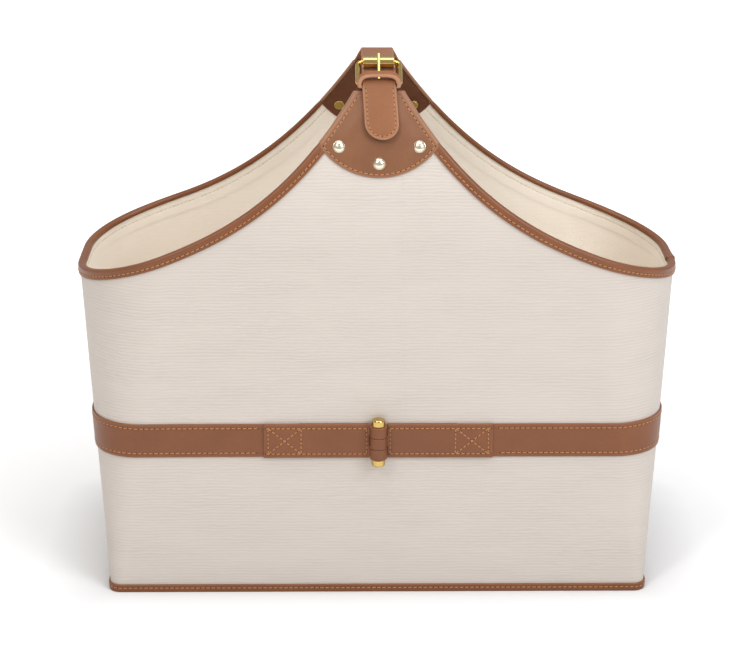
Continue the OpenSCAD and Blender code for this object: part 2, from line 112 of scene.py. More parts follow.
def wall(s, z, off, side):
    """A point of the wall at distance s along the rim from the middle of the front or the back, at
    height z, moved in from the outside of the canvas by off. The left end stands further open."""
    s, z, off, side = np.broadcast_arrays(s, z, off, side)
    a = np.abs(s)
    x, y = quarter(a, z, off)
    t = np.clip((-s - OPEN_FROM) / (FLAT_L + ARC_L - OPEN_FROM), 0, 1)
    share = np.where(side == FRONT, FRONT_OPEN, BACK_OPEN) * rise(z) * t * t * (3 - 2 * t)
    y = y + share * quarter(a, RIM_Z, off)[1]
    return np.stack([np.where(s < 0, -x, x), side * y, z], -1)


def bezier(points, count):
    t = np.linspace(0, 1, count)[:, None]
    return ((1 - t) ** 3 * points[0] + 3 * (1 - t) ** 2 * t * points[1]
            + 3 * (1 - t) * t**2 * points[2] + t**3 * points[3])


RIM_LINE = bezier(RIM_CURVE, 4001)


def rim_height(s):
    a = np.abs(s)
    turn = np.clip((a - FLAT_L) / ARC_L, 0, 1) * math.pi / 2
    x = np.where(a < FLAT_L, a, FLAT_L + RIM_R * np.sin(turn))
    return np.interp(x, RIM_LINE[:, 0], RIM_LINE[:, 1])


def rim_slope(s):
    return (rim_height(s + 0.4) - rim_height(s - 0.4)) / 0.8


def rim_slant(s):
    """Height that the wall has for each millimetre square to the rim line."""
    return np.sqrt(1 + rim_slope(s) ** 2)


def below(s, d):
    """Distance along the rim and height of a point at depth d square to the rim line."""
    return s + d * rim_slope(s) / rim_slant(s), rim_height(s) - d / rim_slant(s)


def below_rim(s, d, off, side):
    return wall(*below(s, d), off, side)


def normals_at(s, z, off, side):
    """Outward normals of the wall."""
    e = 0.05
    ds = wall(s + e, z, off, side) - wall(s - e, z, off, side)
    dz = wall(s, z + e, off, side) - wall(s, z - e, off, side)
    n = np.cross(ds, dz)
    out = wall(s, z, off - 1, side) - wall(s, z, off, side)
    n *= np.sign((n * out).sum(-1, keepdims=True))
    return n / np.linalg.norm(n, axis=-1, keepdims=True)


def lean_angle(z):
    return math.atan(2 * LEAN_K * max(z - LEAN_Z, 0))


def corners(node):
    """The lowest and the highest corner of a CAD node, in millimetres."""
    return [np.array(c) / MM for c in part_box(node)]


def check_formula():
    """Stops if the frame no longer has the sizes that this script repeats."""
    low, high = corners("front_canvas")
    want_low = [-half_w(RIM_Z), -half_d(0), WALL_Z]
    want_high = [half_w(RIM_Z), 0, PANEL_TOP_Z]
    allowed = 0.6
    if np.abs(low - want_low).max() > allowed or np.abs(high - want_high).max() > allowed:
        raise RuntimeError(f"the wall formula doesn't fit the frame: {low} {high}")


check_formula()

# ---------------------------------------------------------------- meshes


def make_object(name, verts, faces, materials, uv=None, edge=None, index=None):
    mesh = bpy.data.meshes.new(name)
    mesh.from_pydata((np.asarray(verts) * MM).tolist(), [], [list(map(int, f)) for f in faces])
    for m in materials:
        mesh.materials.append(m)
    if index is not None:
        mesh.polygons.foreach_set("material_index", np.asarray(index, np.int32))
    if edge is not None:
        layer = mesh.attributes.new("edge", "FLOAT", "POINT")
        layer.data.foreach_set("value", np.asarray(edge, np.float32).ravel())
    if uv is not None:
        loops = np.zeros(len(mesh.loops), np.int32)
        mesh.loops.foreach_get("vertex_index", loops)
        layer = mesh.uv_layers.new(name="cloth")
        layer.data.foreach_set("uv", np.asarray(uv, np.float32)[loops].ravel())
    mesh.polygons.foreach_set("use_smooth", np.ones(len(mesh.polygons), bool))
    bm = bmesh.new()
    bm.from_mesh(mesh)
    bmesh.ops.recalc_face_normals(bm, faces=bm.faces)
    bm.to_mesh(mesh)
    bm.free()
    mesh.update()
    obj = bpy.data.objects.new(name, mesh)
    bpy.context.scene.collection.objects.link(obj)
    return obj


def loft_faces(n, m, closed):
    """Faces of n closed rings of m points each."""
    i = np.arange(n if closed else n - 1)[:, None]
    k = np.arange(m)[None, :]
    j, q = (i + 1) % n, (k + 1) % m
    faces = np.stack(np.broadcast_arrays(i * m + k, i * m + q, j * m + q, j * m + k), -1)
    faces = faces.reshape(-1, 4).tolist()
    if not closed:
        faces += [list(range(m)), [(n - 1) * m + x for x in reversed(range(m))]]
    return faces


def loft(name, rings, material, closed=False, edge=None):
    n, m = rings.shape[:2]
    if edge is not None:
        edge = np.broadcast_to(edge, (n, m))
    return make_object(name, rings.reshape(-1, 3), loft_faces(n, m, closed), [material], edge=edge)


def slab_faces(n, m, keep=None):
    """Faces of a sheet with a top and a bottom grid of n by m points, with its edges closed."""
    keep = np.ones((n - 1, m - 1), bool) if keep is None else keep
    i, k = np.nonzero(keep)
    a = i * m + k
    top = np.stack([a, a + 1, a + m + 1, a + m], -1)
    faces = top.tolist() + (top[:, ::-1] + n * m).tolist()
    edges = {(int(f[x]), int(f[(x + 1) % 4])) for f in top for x in range(4)}
    for p, q in sorted(edges):
        if (q, p) not in edges:
            faces.append([q, p, p + n * m, q + n * m])
    return faces


def slab(name, top, bottom, material, keep=None, edge=None, uv=None):
    n, m = top.shape[:2]
    verts = np.concatenate([top.reshape(-1, 3), bottom.reshape(-1, 3)])
    faces = slab_faces(n, m, keep)
    used = np.zeros(len(verts), bool)
    used[[x for f in faces for x in f]] = True
    place = np.cumsum(used) - 1
    faces = [[place[x] for x in f] for f in faces]
    both = lambda a: None if a is None else np.concatenate([a, a])[used]
    edge = None if edge is None else np.broadcast_to(edge, (n, m)).reshape(-1)
    uv = None if uv is None else uv.reshape(-1, 2)
    return make_object(name, verts[used], faces, [material], edge=both(edge), uv=both(uv))


def ring_part(rings, tint=None, closed=False):
    """Rings as a part for merged()."""
    return rings.reshape(-1, 3), loft_faces(*rings.shape[:2], closed), tint


def merged(name, parts, material):
    """One object from several (verts, faces, edge or None) parts."""
    verts, faces, edges, start = [], [], [], 0
    for v, f, e in parts:
        verts.append(v)
        faces += [[x + start for x in face] for face in f]
        edges.append(np.zeros(len(v)) if e is None else np.broadcast_to(e, (len(v),)))
        start += len(v)
    return make_object(name, np.concatenate(verts), faces, [material], edge=np.concatenate(edges))


def clustered(count, amount):
    """Numbers from 0 to 1 that crowd towards both ends."""
    t = np.linspace(-1, 1, count)
    return 0.5 + 0.5 * np.tanh(amount * t) / math.tanh(amount)


def span(a, b, step):
    return np.linspace(a, b, max(int(math.ceil(abs(b - a) / step)) + 1, 2))


def bell(x, width):
    return np.exp(-((x / width) ** 2))


def round_edge(d, r):
    """Height, from 0 to 1, of a sheet with a rounded edge at distance d from that edge."""
    t = np.clip(d / r, 0, 1)
    return np.sqrt(np.maximum(1 - (1 - t) ** 2, 0))


def finish_piece(obj, body, slot, *nodes):
    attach(obj, body)
    if nodes:
        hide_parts(*nodes)
    return obj


# ---------------------------------------------------------------- materials


class Graph:
    """A material with one Principled shader, and short names for the nodes that it uses."""

    def __init__(self, name, **constants):
        self.material = bpy.data.materials.new(name)
        self.material.use_nodes = True
        self.tree = self.material.node_tree
        self.tree.nodes.clear()
        out = self.node("ShaderNodeOutputMaterial")
        self.shader = self.node("ShaderNodeBsdfPrincipled")
        self.link(self.shader.outputs["BSDF"], out.inputs["Surface"])
        for key, value in constants.items():
            self.shader.inputs[key.replace("_", " ")].default_value = value
        self.place = self.scaled(self.node("ShaderNodeTexCoord").outputs["Object"], (1000,) * 3)

    def node(self, kind, inputs=None, **settings):
        n = self.tree.nodes.new(kind)
        for key, value in settings.items():
            setattr(n, key, value)
        for key, value in (inputs or {}).items():
            self.set(n.inputs[key], value)
        return n

    def link(self, a, b):
        self.tree.links.new(a, b)

    def set(self, socket, value):
        if isinstance(value, bpy.types.NodeSocket):
            self.link(value, socket)
        else:
            socket.default_value = value

    def scaled(self, vector, scale):
        return self.vector("MULTIPLY", vector, scale)

    def vector(self, operation, a, b=(0, 0, 0)):
        n = self.node("ShaderNodeVectorMath", {0: a, 1: b}, operation=operation)
        return n.outputs["Value" if operation == "LENGTH" else "Vector"]

    def noise(self, vector, scale, detail=2.0, rough=0.5, distortion=0.0):
        return self.node("ShaderNodeTexNoise", {
            "Vector": vector, "Scale": scale, "Detail": detail, "Roughness": rough,
            "Distortion": distortion}).outputs[0]

    def cells(self, vector, scale):
        inputs = {"Vector": vector, "Scale": scale, "Smoothness": 0.6}
        return self.node("ShaderNodeTexVoronoi", inputs, feature="SMOOTH_F1").outputs["Distance"]

    def math(self, operation, a, b):
        return self.node("ShaderNodeMath", {0: a, 1: b}, operation=operation).outputs[0]

    def wave(self, place, length):
        return self.math("SINE", self.math("MULTIPLY", place, 2 * math.pi / length), 0.0)

    def fit(self, value, low, high, to_low, to_high):
        return self.node("ShaderNodeMapRange", {
            "Value": value, "From Min": low, "From Max": high, "To Min": to_low,
            "To Max": to_high}).outputs[0]

    def blend(self, factor, a, b):
        a, b = (x if isinstance(x, bpy.types.NodeSocket) else (*x, 1.0) for x in (a, b))
        return self.node("ShaderNodeMix", {0: factor, 6: a, 7: b}, data_type="RGBA").outputs[2]

    def bump(self, height, millimetres, strength, under=None):
        below = {} if under is None else {"Normal": under}
        return self.node("ShaderNodeBump", {"Height": height, "Distance": millimetres * MM,
                                            "Strength": strength, **below}).outputs[0]

    def finish(self, colour, roughness, normal=None):
        self.set(self.shader.inputs["Base Color"], colour)
        self.set(self.shader.inputs["Roughness"], roughness)
        if normal is not None:
            self.link(normal, self.shader.inputs["Normal"])
        return self.material

    def stain(self, tone, where, low, high, share, colour):
        """tone, turned towards a colour by as much as share where a value is high."""
        return self.blend(self.fit(where, low, high, 0, share), tone, colour)


def shade(colour, factor):
    return tuple(min(c * factor, 1.0) for c in colour)


def leather(name, colour, edge_colour, gloss, edge_share):
    """Smooth tanned leather: fine pebbled grain, cloudy colour, paler at its cut edges."""
    g = Graph(name, Specular_IOR_Level=0.42, Coat_Weight=0.06, Coat_Roughness=0.35)
    clouds = g.noise(g.place, 0.035, 3.0, 0.55)
    mottle = g.noise(g.place, 0.45, 4.0, 0.6)
    grain = g.cells(g.place, 1.5)
    pores = g.noise(g.place, 3.4, 3.0, 0.6)
    wrinkle = g.noise(g.scaled(g.place, (0.5, 0.5, 1.4)), 0.22, 5.0, 0.62, 0.8)
    tone = g.stain(shade(colour, 0.9), clouds, 0.3, 0.7, 1, shade(colour, 1.1))
    tone = g.stain(tone, mottle, 0.3, 0.75, 0.3, shade(colour, 0.72))
    tone = g.stain(tone, grain, 0.3, 0.75, 0.28, shade(colour, 0.62))
    worn = g.node("ShaderNodeAttribute", attribute_name="edge").outputs["Fac"]
    tone = g.blend(g.math("MULTIPLY", worn, edge_share), tone, edge_colour)
    rough = g.fit(g.math("ADD", mottle, pores), 0.6, 1.4, gloss - 0.07, gloss + 0.12)
    normal = g.bump(wrinkle, 0.16, 0.5)
    normal = g.bump(grain, 0.05, 0.65, normal)
    normal = g.bump(pores, 0.025, 0.5, normal)
    return g.finish(tone, rough, normal)


def canvas(name, colour, pitch, rib_shade_share, thread):
    """Ribbed canvas: slubby ribs across, fine threads both ways. Its UV is in metres."""
    g = Graph(name, Sheen_Weight=0.12, Sheen_Roughness=0.5, Specular_IOR_Level=0.2)
    cloth = g.scaled(g.node("ShaderNodeUVMap", uv_map="cloth").outputs[0], (1000, 1000, 1000))
    u, v, _ = g.node("ShaderNodeSeparateXYZ", {0: cloth}).outputs
    wobble = g.noise(g.scaled(cloth, (0.035, 0.16, 1)), 1.0, 3.0, 0.55)
    rib_at = g.math("ADD", v, g.math("MULTIPLY", wobble, 1.5 * pitch))
    rib = g.wave(rib_at, pitch)
    over = g.math("MULTIPLY", g.wave(v, thread), g.wave(u, thread))
    slub = g.noise(g.scaled(cloth, (0.05, 1.15, 1)), 1.0, 4.0, 0.6)
    patchy = g.noise(g.scaled(cloth, (0.012, 0.05, 1)), 1.0, 2.0, 0.5)
    fuzz = g.noise(g.place, 2.6, 3.0, 0.65)
    strength = g.fit(patchy, 0.32, 0.68, 0.35, 1.0)
    # Painted shade: the colour darkens in the valleys of the ribs, where the rib bump dips, more in
    # some patches than others.
    rib_valley_shade = g.math("MULTIPLY", g.fit(rib, -1, 1, rib_shade_share, 0), strength)
    tone = g.stain(colour, slub, 0.3, 0.72, 0.35, shade(colour, 0.9))
    tone = g.blend(rib_valley_shade, tone, shade(colour, 0.62))
    # Painted shade: a little darker where the crossing threads dip, in the hollows of the weave.
    tone = g.blend(g.fit(over, -1, 1, 0.1, 0), tone, shade(colour, 0.7))
    tone = g.stain(tone, fuzz, 0.35, 0.7, 0.12, shade(colour, 1.12))
    normal = g.bump(rib, 0.055, 0.55)
    normal = g.bump(over, 0.05, 0.5, normal)
    normal = g.bump(slub, 0.07, 0.4, normal)
    return g.finish(tone, g.fit(fuzz, 0.3, 0.7, 0.82, 0.95), normal)


def brass(name, colour, gloss):
    """Polished plated brass: faint tarnish clouds and hair scratches."""
    g = Graph(name, Metallic=1.0)
    clouds = g.noise(g.place, 0.3, 3.0, 0.6)
    hair = g.noise(g.scaled(g.place, (0.35, 2.2, 2.2)), 2.4, 4.0, 0.7)
    tone = g.stain(colour, clouds, 0.35, 0.7, 0.5, shade(colour, 0.82))
    rough = g.fit(g.math("ADD", clouds, hair), 0.7, 1.35, gloss - 0.04, gloss + 0.08)
    return g.finish(tone, rough, g.bump(hair, 0.006, 0.4))


def thread(name, colour):
    """Twisted waxed thread."""
    g = Graph(name, Sheen_Weight=0.1, Specular_IOR_Level=0.35)
    twist = g.noise(g.place, 2.8, 3.0, 0.6)
    tone = g.stain(shade(colour, 1.12), twist, 0.35, 0.7, 0.7, shade(colour, 0.66))
    return g.finish(tone, g.fit(twist, 0.3, 0.7, 0.5, 0.7), g.bump(twist, 0.08, 0.6))


def pulp(name, colour):
    """Grey board of pressed pulp."""
    g = Graph(name)
    specks = g.noise(g.place, 1.6, 4.0, 0.7)
    tone = g.stain(colour, specks, 0.35, 0.7, 0.8, shade(colour, 0.7))
    return g.finish(tone, g.fit(specks, 0.3, 0.7, 0.85, 0.95), g.bump(specks, 0.1, 0.5))


# Needle holes: their dark colour is painted shade, the shade inside each pit, made uneven by noise.
def painted_hole_shade(name, colour):
    g = Graph(name)
    pit_shade_noise = g.noise(g.place, 3.0, 2.0, 0.5)
    return g.finish(g.blend(pit_shade_noise, colour, shade(colour, 0.5)), g.fit(pit_shade_noise, 0.3, 0.7, 0.75, 0.9))


TAN = (0.184, 0.058, 0.016)
TAN_PALE = (0.30, 0.125, 0.055)
STRAP = (0.250, 0.089, 0.029)
STRAP_PALE = (0.40, 0.20, 0.11)
PATCH = (0.205, 0.083, 0.036)
BROWN = (0.118, 0.034, 0.010)
CREAM = (0.572, 0.512, 0.461)
LINING = (0.93, 0.845, 0.735)

tan_leather = leather("tan_leather", TAN, TAN_PALE, 0.38, 0.4)
patch_leather = leather("patch_leather", PATCH, STRAP_PALE, 0.31, 0.45)
strap_leather = leather("strap_leather", STRAP, STRAP_PALE, 0.40, 0.8)
brown_leather = leather("brown_leather", BROWN, shade(BROWN, 1.6), 0.5, 0.4)
canvas_cloth = canvas("canvas_cloth", CREAM, 2.4, 0.34, 0.8)
lining_cloth = canvas("lining_cloth", LINING, 1.1, 0.04, 0.55)
bright_brass = brass("bright_brass", (0.62, 0.43, 0.14), 0.08)
pale_brass = brass("pale_brass", (0.80, 0.73, 0.56), 0.24)
dull_brass = brass("dull_brass", (0.50, 0.36, 0.12), 0.34)
tan_thread = thread("tan_thread", (0.46, 0.205, 0.075))
cream_thread = thread("cream_thread", (0.72, 0.62, 0.48))
grey_board = pulp("grey_board", (0.36, 0.33, 0.29))
leather_hole_shade = painted_hole_shade("leather_hole_shade", (0.035, 0.013, 0.006))
cloth_hole_shade = painted_hole_shade("cloth_hole_shade", (0.34, 0.27, 0.19))

# ---------------------------------------------------------------- stitching

STITCH_PITCH, STITCH_R = 4.1, 0.34
# Along one stitch: where its rings are, how thick they are and how high they lie
stitch_rings = np.array([0.0, 0.12, 0.3, 0.5, 0.7, 0.88, 1.0])
stitch_size = np.array([0.55, 0.85, 1.0, 1.0, 1.0, 0.85, 0.55])
stitch_lift = np.array([-0.42, -0.06, 0.16, 0.24, 0.16, -0.06, -0.42])


class Seam:
    """Rows of stitches with their needle holes, gathered into one object."""

    def __init__(self):
        self.verts, self.faces, self.index, self.count = [], [], [], 0

    def _add(self, verts, faces, index):
        self.verts.append(verts)
        self.faces += [[x + self.count for x in f] for f in faces]
        self.index += [index] * len(faces)
        self.count += len(verts)

    def row(self, line, normal, pitch=STITCH_PITCH, radius=STITCH_R, slant=0.11, loop=False):
        """line and normal are dense points along the row and the surface's normals there."""
        if loop:
            line, normal = (np.concatenate([a, a[:1]]) for a in (line, normal))
        step = np.linalg.norm(np.diff(line, axis=0), axis=1)
        along = np.concatenate([[0], np.cumsum(step)])
        count = max(int(round(along[-1] / pitch)), 1)
        holes = np.linspace(0, along[-1], count + 1)
        at = lambda q, a: np.stack([np.interp(q, along, a[:, c]) for c in range(3)], -1)
        length = along[-1] / count
        q = holes[:-1, None] + length * (0.07 + 0.86 * stitch_rings)[None, :]
        centre, up = at(q, line), at(q, normal)
        up /= np.linalg.norm(up, axis=-1, keepdims=True)
        ahead = at(q + 0.05, line) - at(q - 0.05, line)
        ahead[:, -1], ahead[:, 0] = ahead[:, -2], ahead[:, 1]
        across = np.cross(ahead, up)
        across /= np.maximum(np.linalg.norm(across, axis=-1, keepdims=True), 1e-9)
        centre = centre + up * (stitch_lift * radius / STITCH_R)[None, :, None]
        centre = centre + across * (slant * (1 - 2 * stitch_rings))[None, :, None]
        turn = (np.arange(7) / 7 * 2 * math.pi)[None, None, :, None]
        ring = across[:, :, None] * np.cos(turn) * 1.1 + up[:, :, None] * np.sin(turn) * 0.9
        ring = ring * (radius * stitch_size)[None, :, None, None]
        tubes = centre[:, :, None] + ring
        size = tubes.shape[1] * tubes.shape[2]
        one = loft_faces(tubes.shape[1], tubes.shape[2], False)
        faces = [[x + i * size for x in f] for i in range(count) for f in one]
        self._add(tubes.reshape(-1, 3), faces, 0)
        # Each needle hole is a ring round a shallow pit, which the hole material colours with painted
        # shade.
        spots = holes if not loop else holes[:-1]
        p, up = at(spots, line), at(spots, normal)
        up /= np.linalg.norm(up, axis=-1, keepdims=True)
        ahead = at(spots + 0.1, line) - at(spots - 0.1, line)
        side = np.cross(ahead, up)
        side /= np.maximum(np.linalg.norm(side, axis=-1, keepdims=True), 1e-9)
        ahead = np.cross(up, side)
        around = 8
        turn = (np.arange(around) / around * 2 * math.pi)[None, :, None]
        rim = p[:, None] + 1.35 * radius * (
            side[:, None] * np.cos(turn) + ahead[:, None] * np.sin(turn)) + up[:, None] * 0.07
        pit = p - up * 0.25
        verts = np.concatenate([rim, pit[:, None]], 1)
        one = [[k, (k + 1) % around, around] for k in range(around)]
        one.append(list(reversed(range(around))))
        faces = [[x + i * (around + 1) for x in f] for i in range(len(p)) for f in one]
        self._add(verts.reshape(-1, 3), faces, 1)

    def on_wall(self, s, z, off, side, **options):
        s, z, off, side = np.broadcast_arrays(s, z, off, side)
        self.row(wall(s, z, off, side), normals_at(s, z, off, side), **options)

    def build(self, name, yarn, hole):
        verts = np.concatenate(self.verts)
        return make_object(name, verts, self.faces, [yarn, hole], index=self.index)


leather_seam, tail_seam, lining_seam, canvas_seam = Seam(), Seam(), Seam(), Seam()

# ---------------------------------------------------------------- canvas and lining


def columns(step):
    """Distances along the rim, close together where the rim turns into the peak."""
    half = np.concatenate([span(0, 16, 2), span(16.3, 17.3, 0.5), span(19, FLAT_L, step),
                           span(FLAT_L + step, QUARTER_L, step)])
    return np.concatenate([-half[:0:-1], half])


def wall_sheet(name, side, off_out, off_in, depths, count, material, body_slot, node, shape):
    """A layer of the wall. shape(s, z, d) moves its shown face in or out, in millimetres."""
    s = columns(2.8)[:, None]
    height, slant = rim_height(s), rim_slant(s)
    top = np.minimum(height, PANEL_TOP_Z)
    deep = np.array(depths)[None, :] * np.minimum(slant, 1.9)
    upper = top - deep
    lower = mix(upper[:, -1:], WALL_Z, np.linspace(0, 1, count + 1)[None, 1:])
    z = np.concatenate([upper, lower], 1)
    d = (height - z) / slant
    s = np.broadcast_to(s, z.shape)
    shown = shape(s, z, d)
    outside = off_out < off_in
    top_face = wall(s, z, off_out + shown if outside else off_out - shown, side)
    back_face = wall(s, z, off_in, side)
    flat = wall(s, z, 0, side)
    u = np.cumsum(np.linalg.norm(np.diff(flat, axis=0, prepend=flat[:1]), axis=-1), 0)
    u = u - u[len(u) // 2][None, :]
    uv = np.stack([u * MM, z * MM], -1)
    obj = slab(name, top_face, back_face, material, uv=uv)
    finish_piece(obj, "bin", body_slot, node)
    return obj


def end_groove(s):
    return 0.4 * bell(QUARTER_L - np.abs(s), 1.1)


def canvas_shape(s, z, d):
    waves = np.sin(s / 31 + z / 47) + np.sin(s / 17 - z / 23 + 1.3) + np.sin(z / 13 + s / 90)
    return 0.06 * (waves + 3) * np.clip(z / 12, 0, 1) * 0.6 + end_groove(s)


HEM_DEPTH = 15.0
LINING_ROW, LINING_ROW_FROM = 7.4, 40
END_ROW = 3.4
FINE_ROW = dict(pitch=3.6, radius=0.26, slant=0.03)


def lining_shape(s, z, d):
    hem = 0.34 / (1 + np.exp((d - HEM_DEPTH) / 0.55))
    pucker = 0.1 * np.sin(s * 2 * math.pi / 12.3) * bell(d - LINING_ROW, 5)
    row = -0.22 * bell(d - LINING_ROW, 0.6)
    loose = 0.16 * (np.sin(s / 23 + z / 37) + np.sin(s / 41 - z / 19 + 0.7))
    loose = loose * np.clip((d - HEM_DEPTH) / 30, 0, 1)
    return -hem - pucker - row - loose + end_groove(s)


coarse_depths = [0, 1.5, 3, 5, 8, 12]
hem_depths = [0, 1.4, 2.8, 4.2, 5.4, 6.2, 6.7, 7.05, 7.4, 7.75, 8.1, 8.7, 9.6, 11, 12.4, 13.4, 14,
              14.5, 15, 15.5, 16, 16.8, 18.5, 21, 25]
for side, where in HALVES:
    wall_sheet(f"canvas_{where}", side, 0, CLOTH_T, coarse_depths, 62, canvas_cloth, "canvas",
               f"{where}_canvas", canvas_shape)
    wall_sheet(f"lining_{where}", side, WALL_T, WALL_T - CLOTH_T, hem_depths, 56, lining_cloth,
               "lining", f"{where}_lining", lining_shape)
    s = span(-QUARTER_L, QUARTER_L, 1.5)
    for part in (s < -LINING_ROW_FROM, s > LINING_ROW_FROM):
        row_s, row_z = (a[part] for a in below(s, LINING_ROW))
        lining_seam.on_wall(row_s, row_z, WALL_T + 0.16, side, **FINE_ROW)
    z = span(8, rim_height(QUARTER_L) - 12, 2)
    for end in (-1, 1):
        canvas_seam.on_wall(np.full_like(z, end * (QUARTER_L - END_ROW)), z, 0.1, side, **FINE_ROW)
for node in ("front_board", "back_board", "base_board"):
    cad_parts[node].data.materials.clear()
    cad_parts[node].data.materials.append(grey_board)


def plate(name, node, material, slot, corner, puff, shown_up):
    """A cloth that fills the foot: its shown face is a little soft and dips to its edges."""
    low, high = corners(node)
    w, d = (high - low)[:2] / 2
    x, y = np.meshgrid(clustered(70, 1.6) * 2 - 1, clustered(44, 1.6) * 2 - 1, indexing="ij")
    x, y = x * w, y * d
    a, b = np.maximum(np.abs(x) - (w - corner), 0), np.maximum(np.abs(y) - (d - corner), 0)
    shrink = np.where(a * b > 0, np.maximum(a, b) / np.maximum(np.hypot(a, b), 1e-9), 1)
    px = np.sign(x) * (np.minimum(np.abs(x), w - corner) + a * shrink)
    py = np.sign(y) * (np.minimum(np.abs(y), d - corner) + b * shrink)
    edge = np.minimum(w - np.abs(px), d - np.abs(py))
    soft = puff * (np.sin(px / 37 + 0.5) * np.sin(py / 29 + 1.1) + 1) * np.clip(edge / 20, 0, 1)
    top = np.stack([px, py, high[2] - soft if shown_up else np.full_like(px, high[2])], -1)
    bottom = np.stack([px, py, np.full_like(px, low[2]) if shown_up else low[2] + soft], -1)
    obj = slab(name, top, bottom, material, uv=np.stack([px, py], -1) * MM)
    finish_piece(obj, "bin", slot, node)
    return obj


plate("lining_floor", "base_lining", lining_cloth, "lining", 4, 0.15, True)
plate("base_cloth", "base_cover", canvas_cloth, "canvas", 2, 0.1, False)

# ---------------------------------------------------------------- leather bands

EDGE_R = 0.6
GROOVE = 0.24
ROW_OFF = -LEATHER_T + 0.12
ROW_IN = 3.4
TAB_L, TAB_UNDER = 87.0, 61.0


def squared(c, power):
    """A cosine or sine bent so that a circle turns into a rounded square."""
    return np.sign(c) * np.abs(c) ** power


def band_ring(width, t0, t1, rows, lift=0.12):
    """Closed section of a leather band as (height above the canvas, place across, edge tint)."""
    half = width / 2
    near = [r + x for r in rows for x in (-1.4, -0.8, -0.4, 0, 0.4, 0.8, 1.4)]
    flat = half - EDGE_R
    face = [x for x in [*span(-flat, flat, 2.2), *near] if abs(x) <= flat]
    face = np.array(sorted(set(np.round(face, 3))))
    dip = sum((bell(face - r, 0.55) for r in rows), np.zeros_like(face))
    top = [(t1 + lift * (1 - (x / half) ** 2) - GROOVE * g, x) for x, g in zip(face, dip)]
    bend = [(t1 - EDGE_R + EDGE_R * math.cos(a), half - EDGE_R + EDGE_R * math.sin(a))
            for a in np.radians([30, 60, 90])]
    ring = top + bend + [(t0, half - 0.1), (t0, -half + 0.1)] + [(t, -x) for t, x in bend[::-1]]
    ring = np.array(ring)
    tint = np.clip(1 - (half - np.abs(ring[:, 1])) / 1.1, 0, 1)
    return ring[:, 0], ring[:, 1], tint


def full_loop(step):
    """The way once round the body, as (s, side)."""
    half = np.concatenate([span(0, FLAT_L, step * 1.6), span(FLAT_L, QUARTER_L, step)[1:]])
    s = np.concatenate([-half[:0:-1], half])
    back = s[::-1][1:-1]
    return np.concatenate([s, back]), np.repeat([FRONT, BACK], [len(s), len(back)])


belt_low, belt_high = (c[2] for c in corners("belt"))
BELT_Z, BELT_W = (belt_low + belt_high) / 2, belt_high - belt_low


def make_belt():
    """The belt stops under the two tabs, so its stitches show only beyond them."""
    row = BELT_W / 2 - ROW_IN
    t, d, tint = band_ring(BELT_W, 0.03, LEATHER_T, (-row, row))
    start = FLAT_L * TAB_UNDER / (half_w(BELT_Z) - mix(BASE_R, RIM_R, rise(BELT_Z)))
    s, side = full_loop(3.0)
    order = np.argmax((side == FRONT) & (s > start))
    s, side = np.roll(s, -order), np.roll(side, -order)
    stop = np.nonzero((side == FRONT) & (s > -start) & (s < start))[0]
    keep = np.ones(len(s), bool)
    keep[stop] = False
    s = np.concatenate([[start], s[keep], [-start]])
    side = np.concatenate([[FRONT], side[keep], [FRONT]])
    rings = wall(s[:, None], BELT_Z + d[None, :], -t[None, :], side[:, None])
    belt = loft("belt_band", rings, tan_leather, edge=tint[None, :])
    finish_piece(belt, "bin", "leather", "belt")
    cut = (side == BACK) | (np.abs(s) > start * TAB_L / TAB_UNDER)
    for up in (-row, row):
        leather_seam.on_wall(s[cut], BELT_Z + up, -LEATHER_T + 0.1, side[cut])


make_belt()


def make_base_binding():
    foot_h, row_z = corners("base_binding")[1][2], 3.5
    z = np.array([0.0, 0.25, 0.7, 1.3, 2.1, 2.7, 3.1, row_z, 3.9, 4.3, 4.9, 5.3, foot_h - EDGE_R])
    t = LEATHER_T - 0.45 * bell(z, 0.5) - GROOVE * bell(z - row_z, 0.55)
    turn = np.radians([35, 70, 90])
    z = np.concatenate([[0], z, foot_h - EDGE_R + EDGE_R * np.sin(turn), [foot_h, 1.2, 1.2]])
    t = np.concatenate([[0.6], t, LEATHER_T - EDGE_R + EDGE_R * np.cos(turn), [0.03, 0.03, -10]])
    z, t = np.append(z, 0), np.append(t, -10)
    tint = np.clip(1 - np.abs(z - foot_h) / 1.0, 0, 1) * (t > 0)
    s, side = full_loop(2.6)
    rings = wall(s[:, None], z[None, :], -t[None, :], side[:, None])
    piece = loft("base_band", rings, tan_leather, closed=True, edge=tint[None, :])
    finish_piece(piece, "bin", "leather", "base_binding")
    leather_seam.on_wall(s, row_z, ROW_OFF, side, pitch=4.0, loop=True)


make_base_binding()

# The rim's bands start under the patches, where they are thinner, and their stitches beside them
BAND_FROM, BAND_SHOWN = 42.4, 46
RIM_OUT, RIM_IN, RIM_ROW = 6.2, 2.4, 3.7
INNER_T = WALL_T + LEATHER_T
LAP_BACK, LAP_OVER = 11.4, 2.2


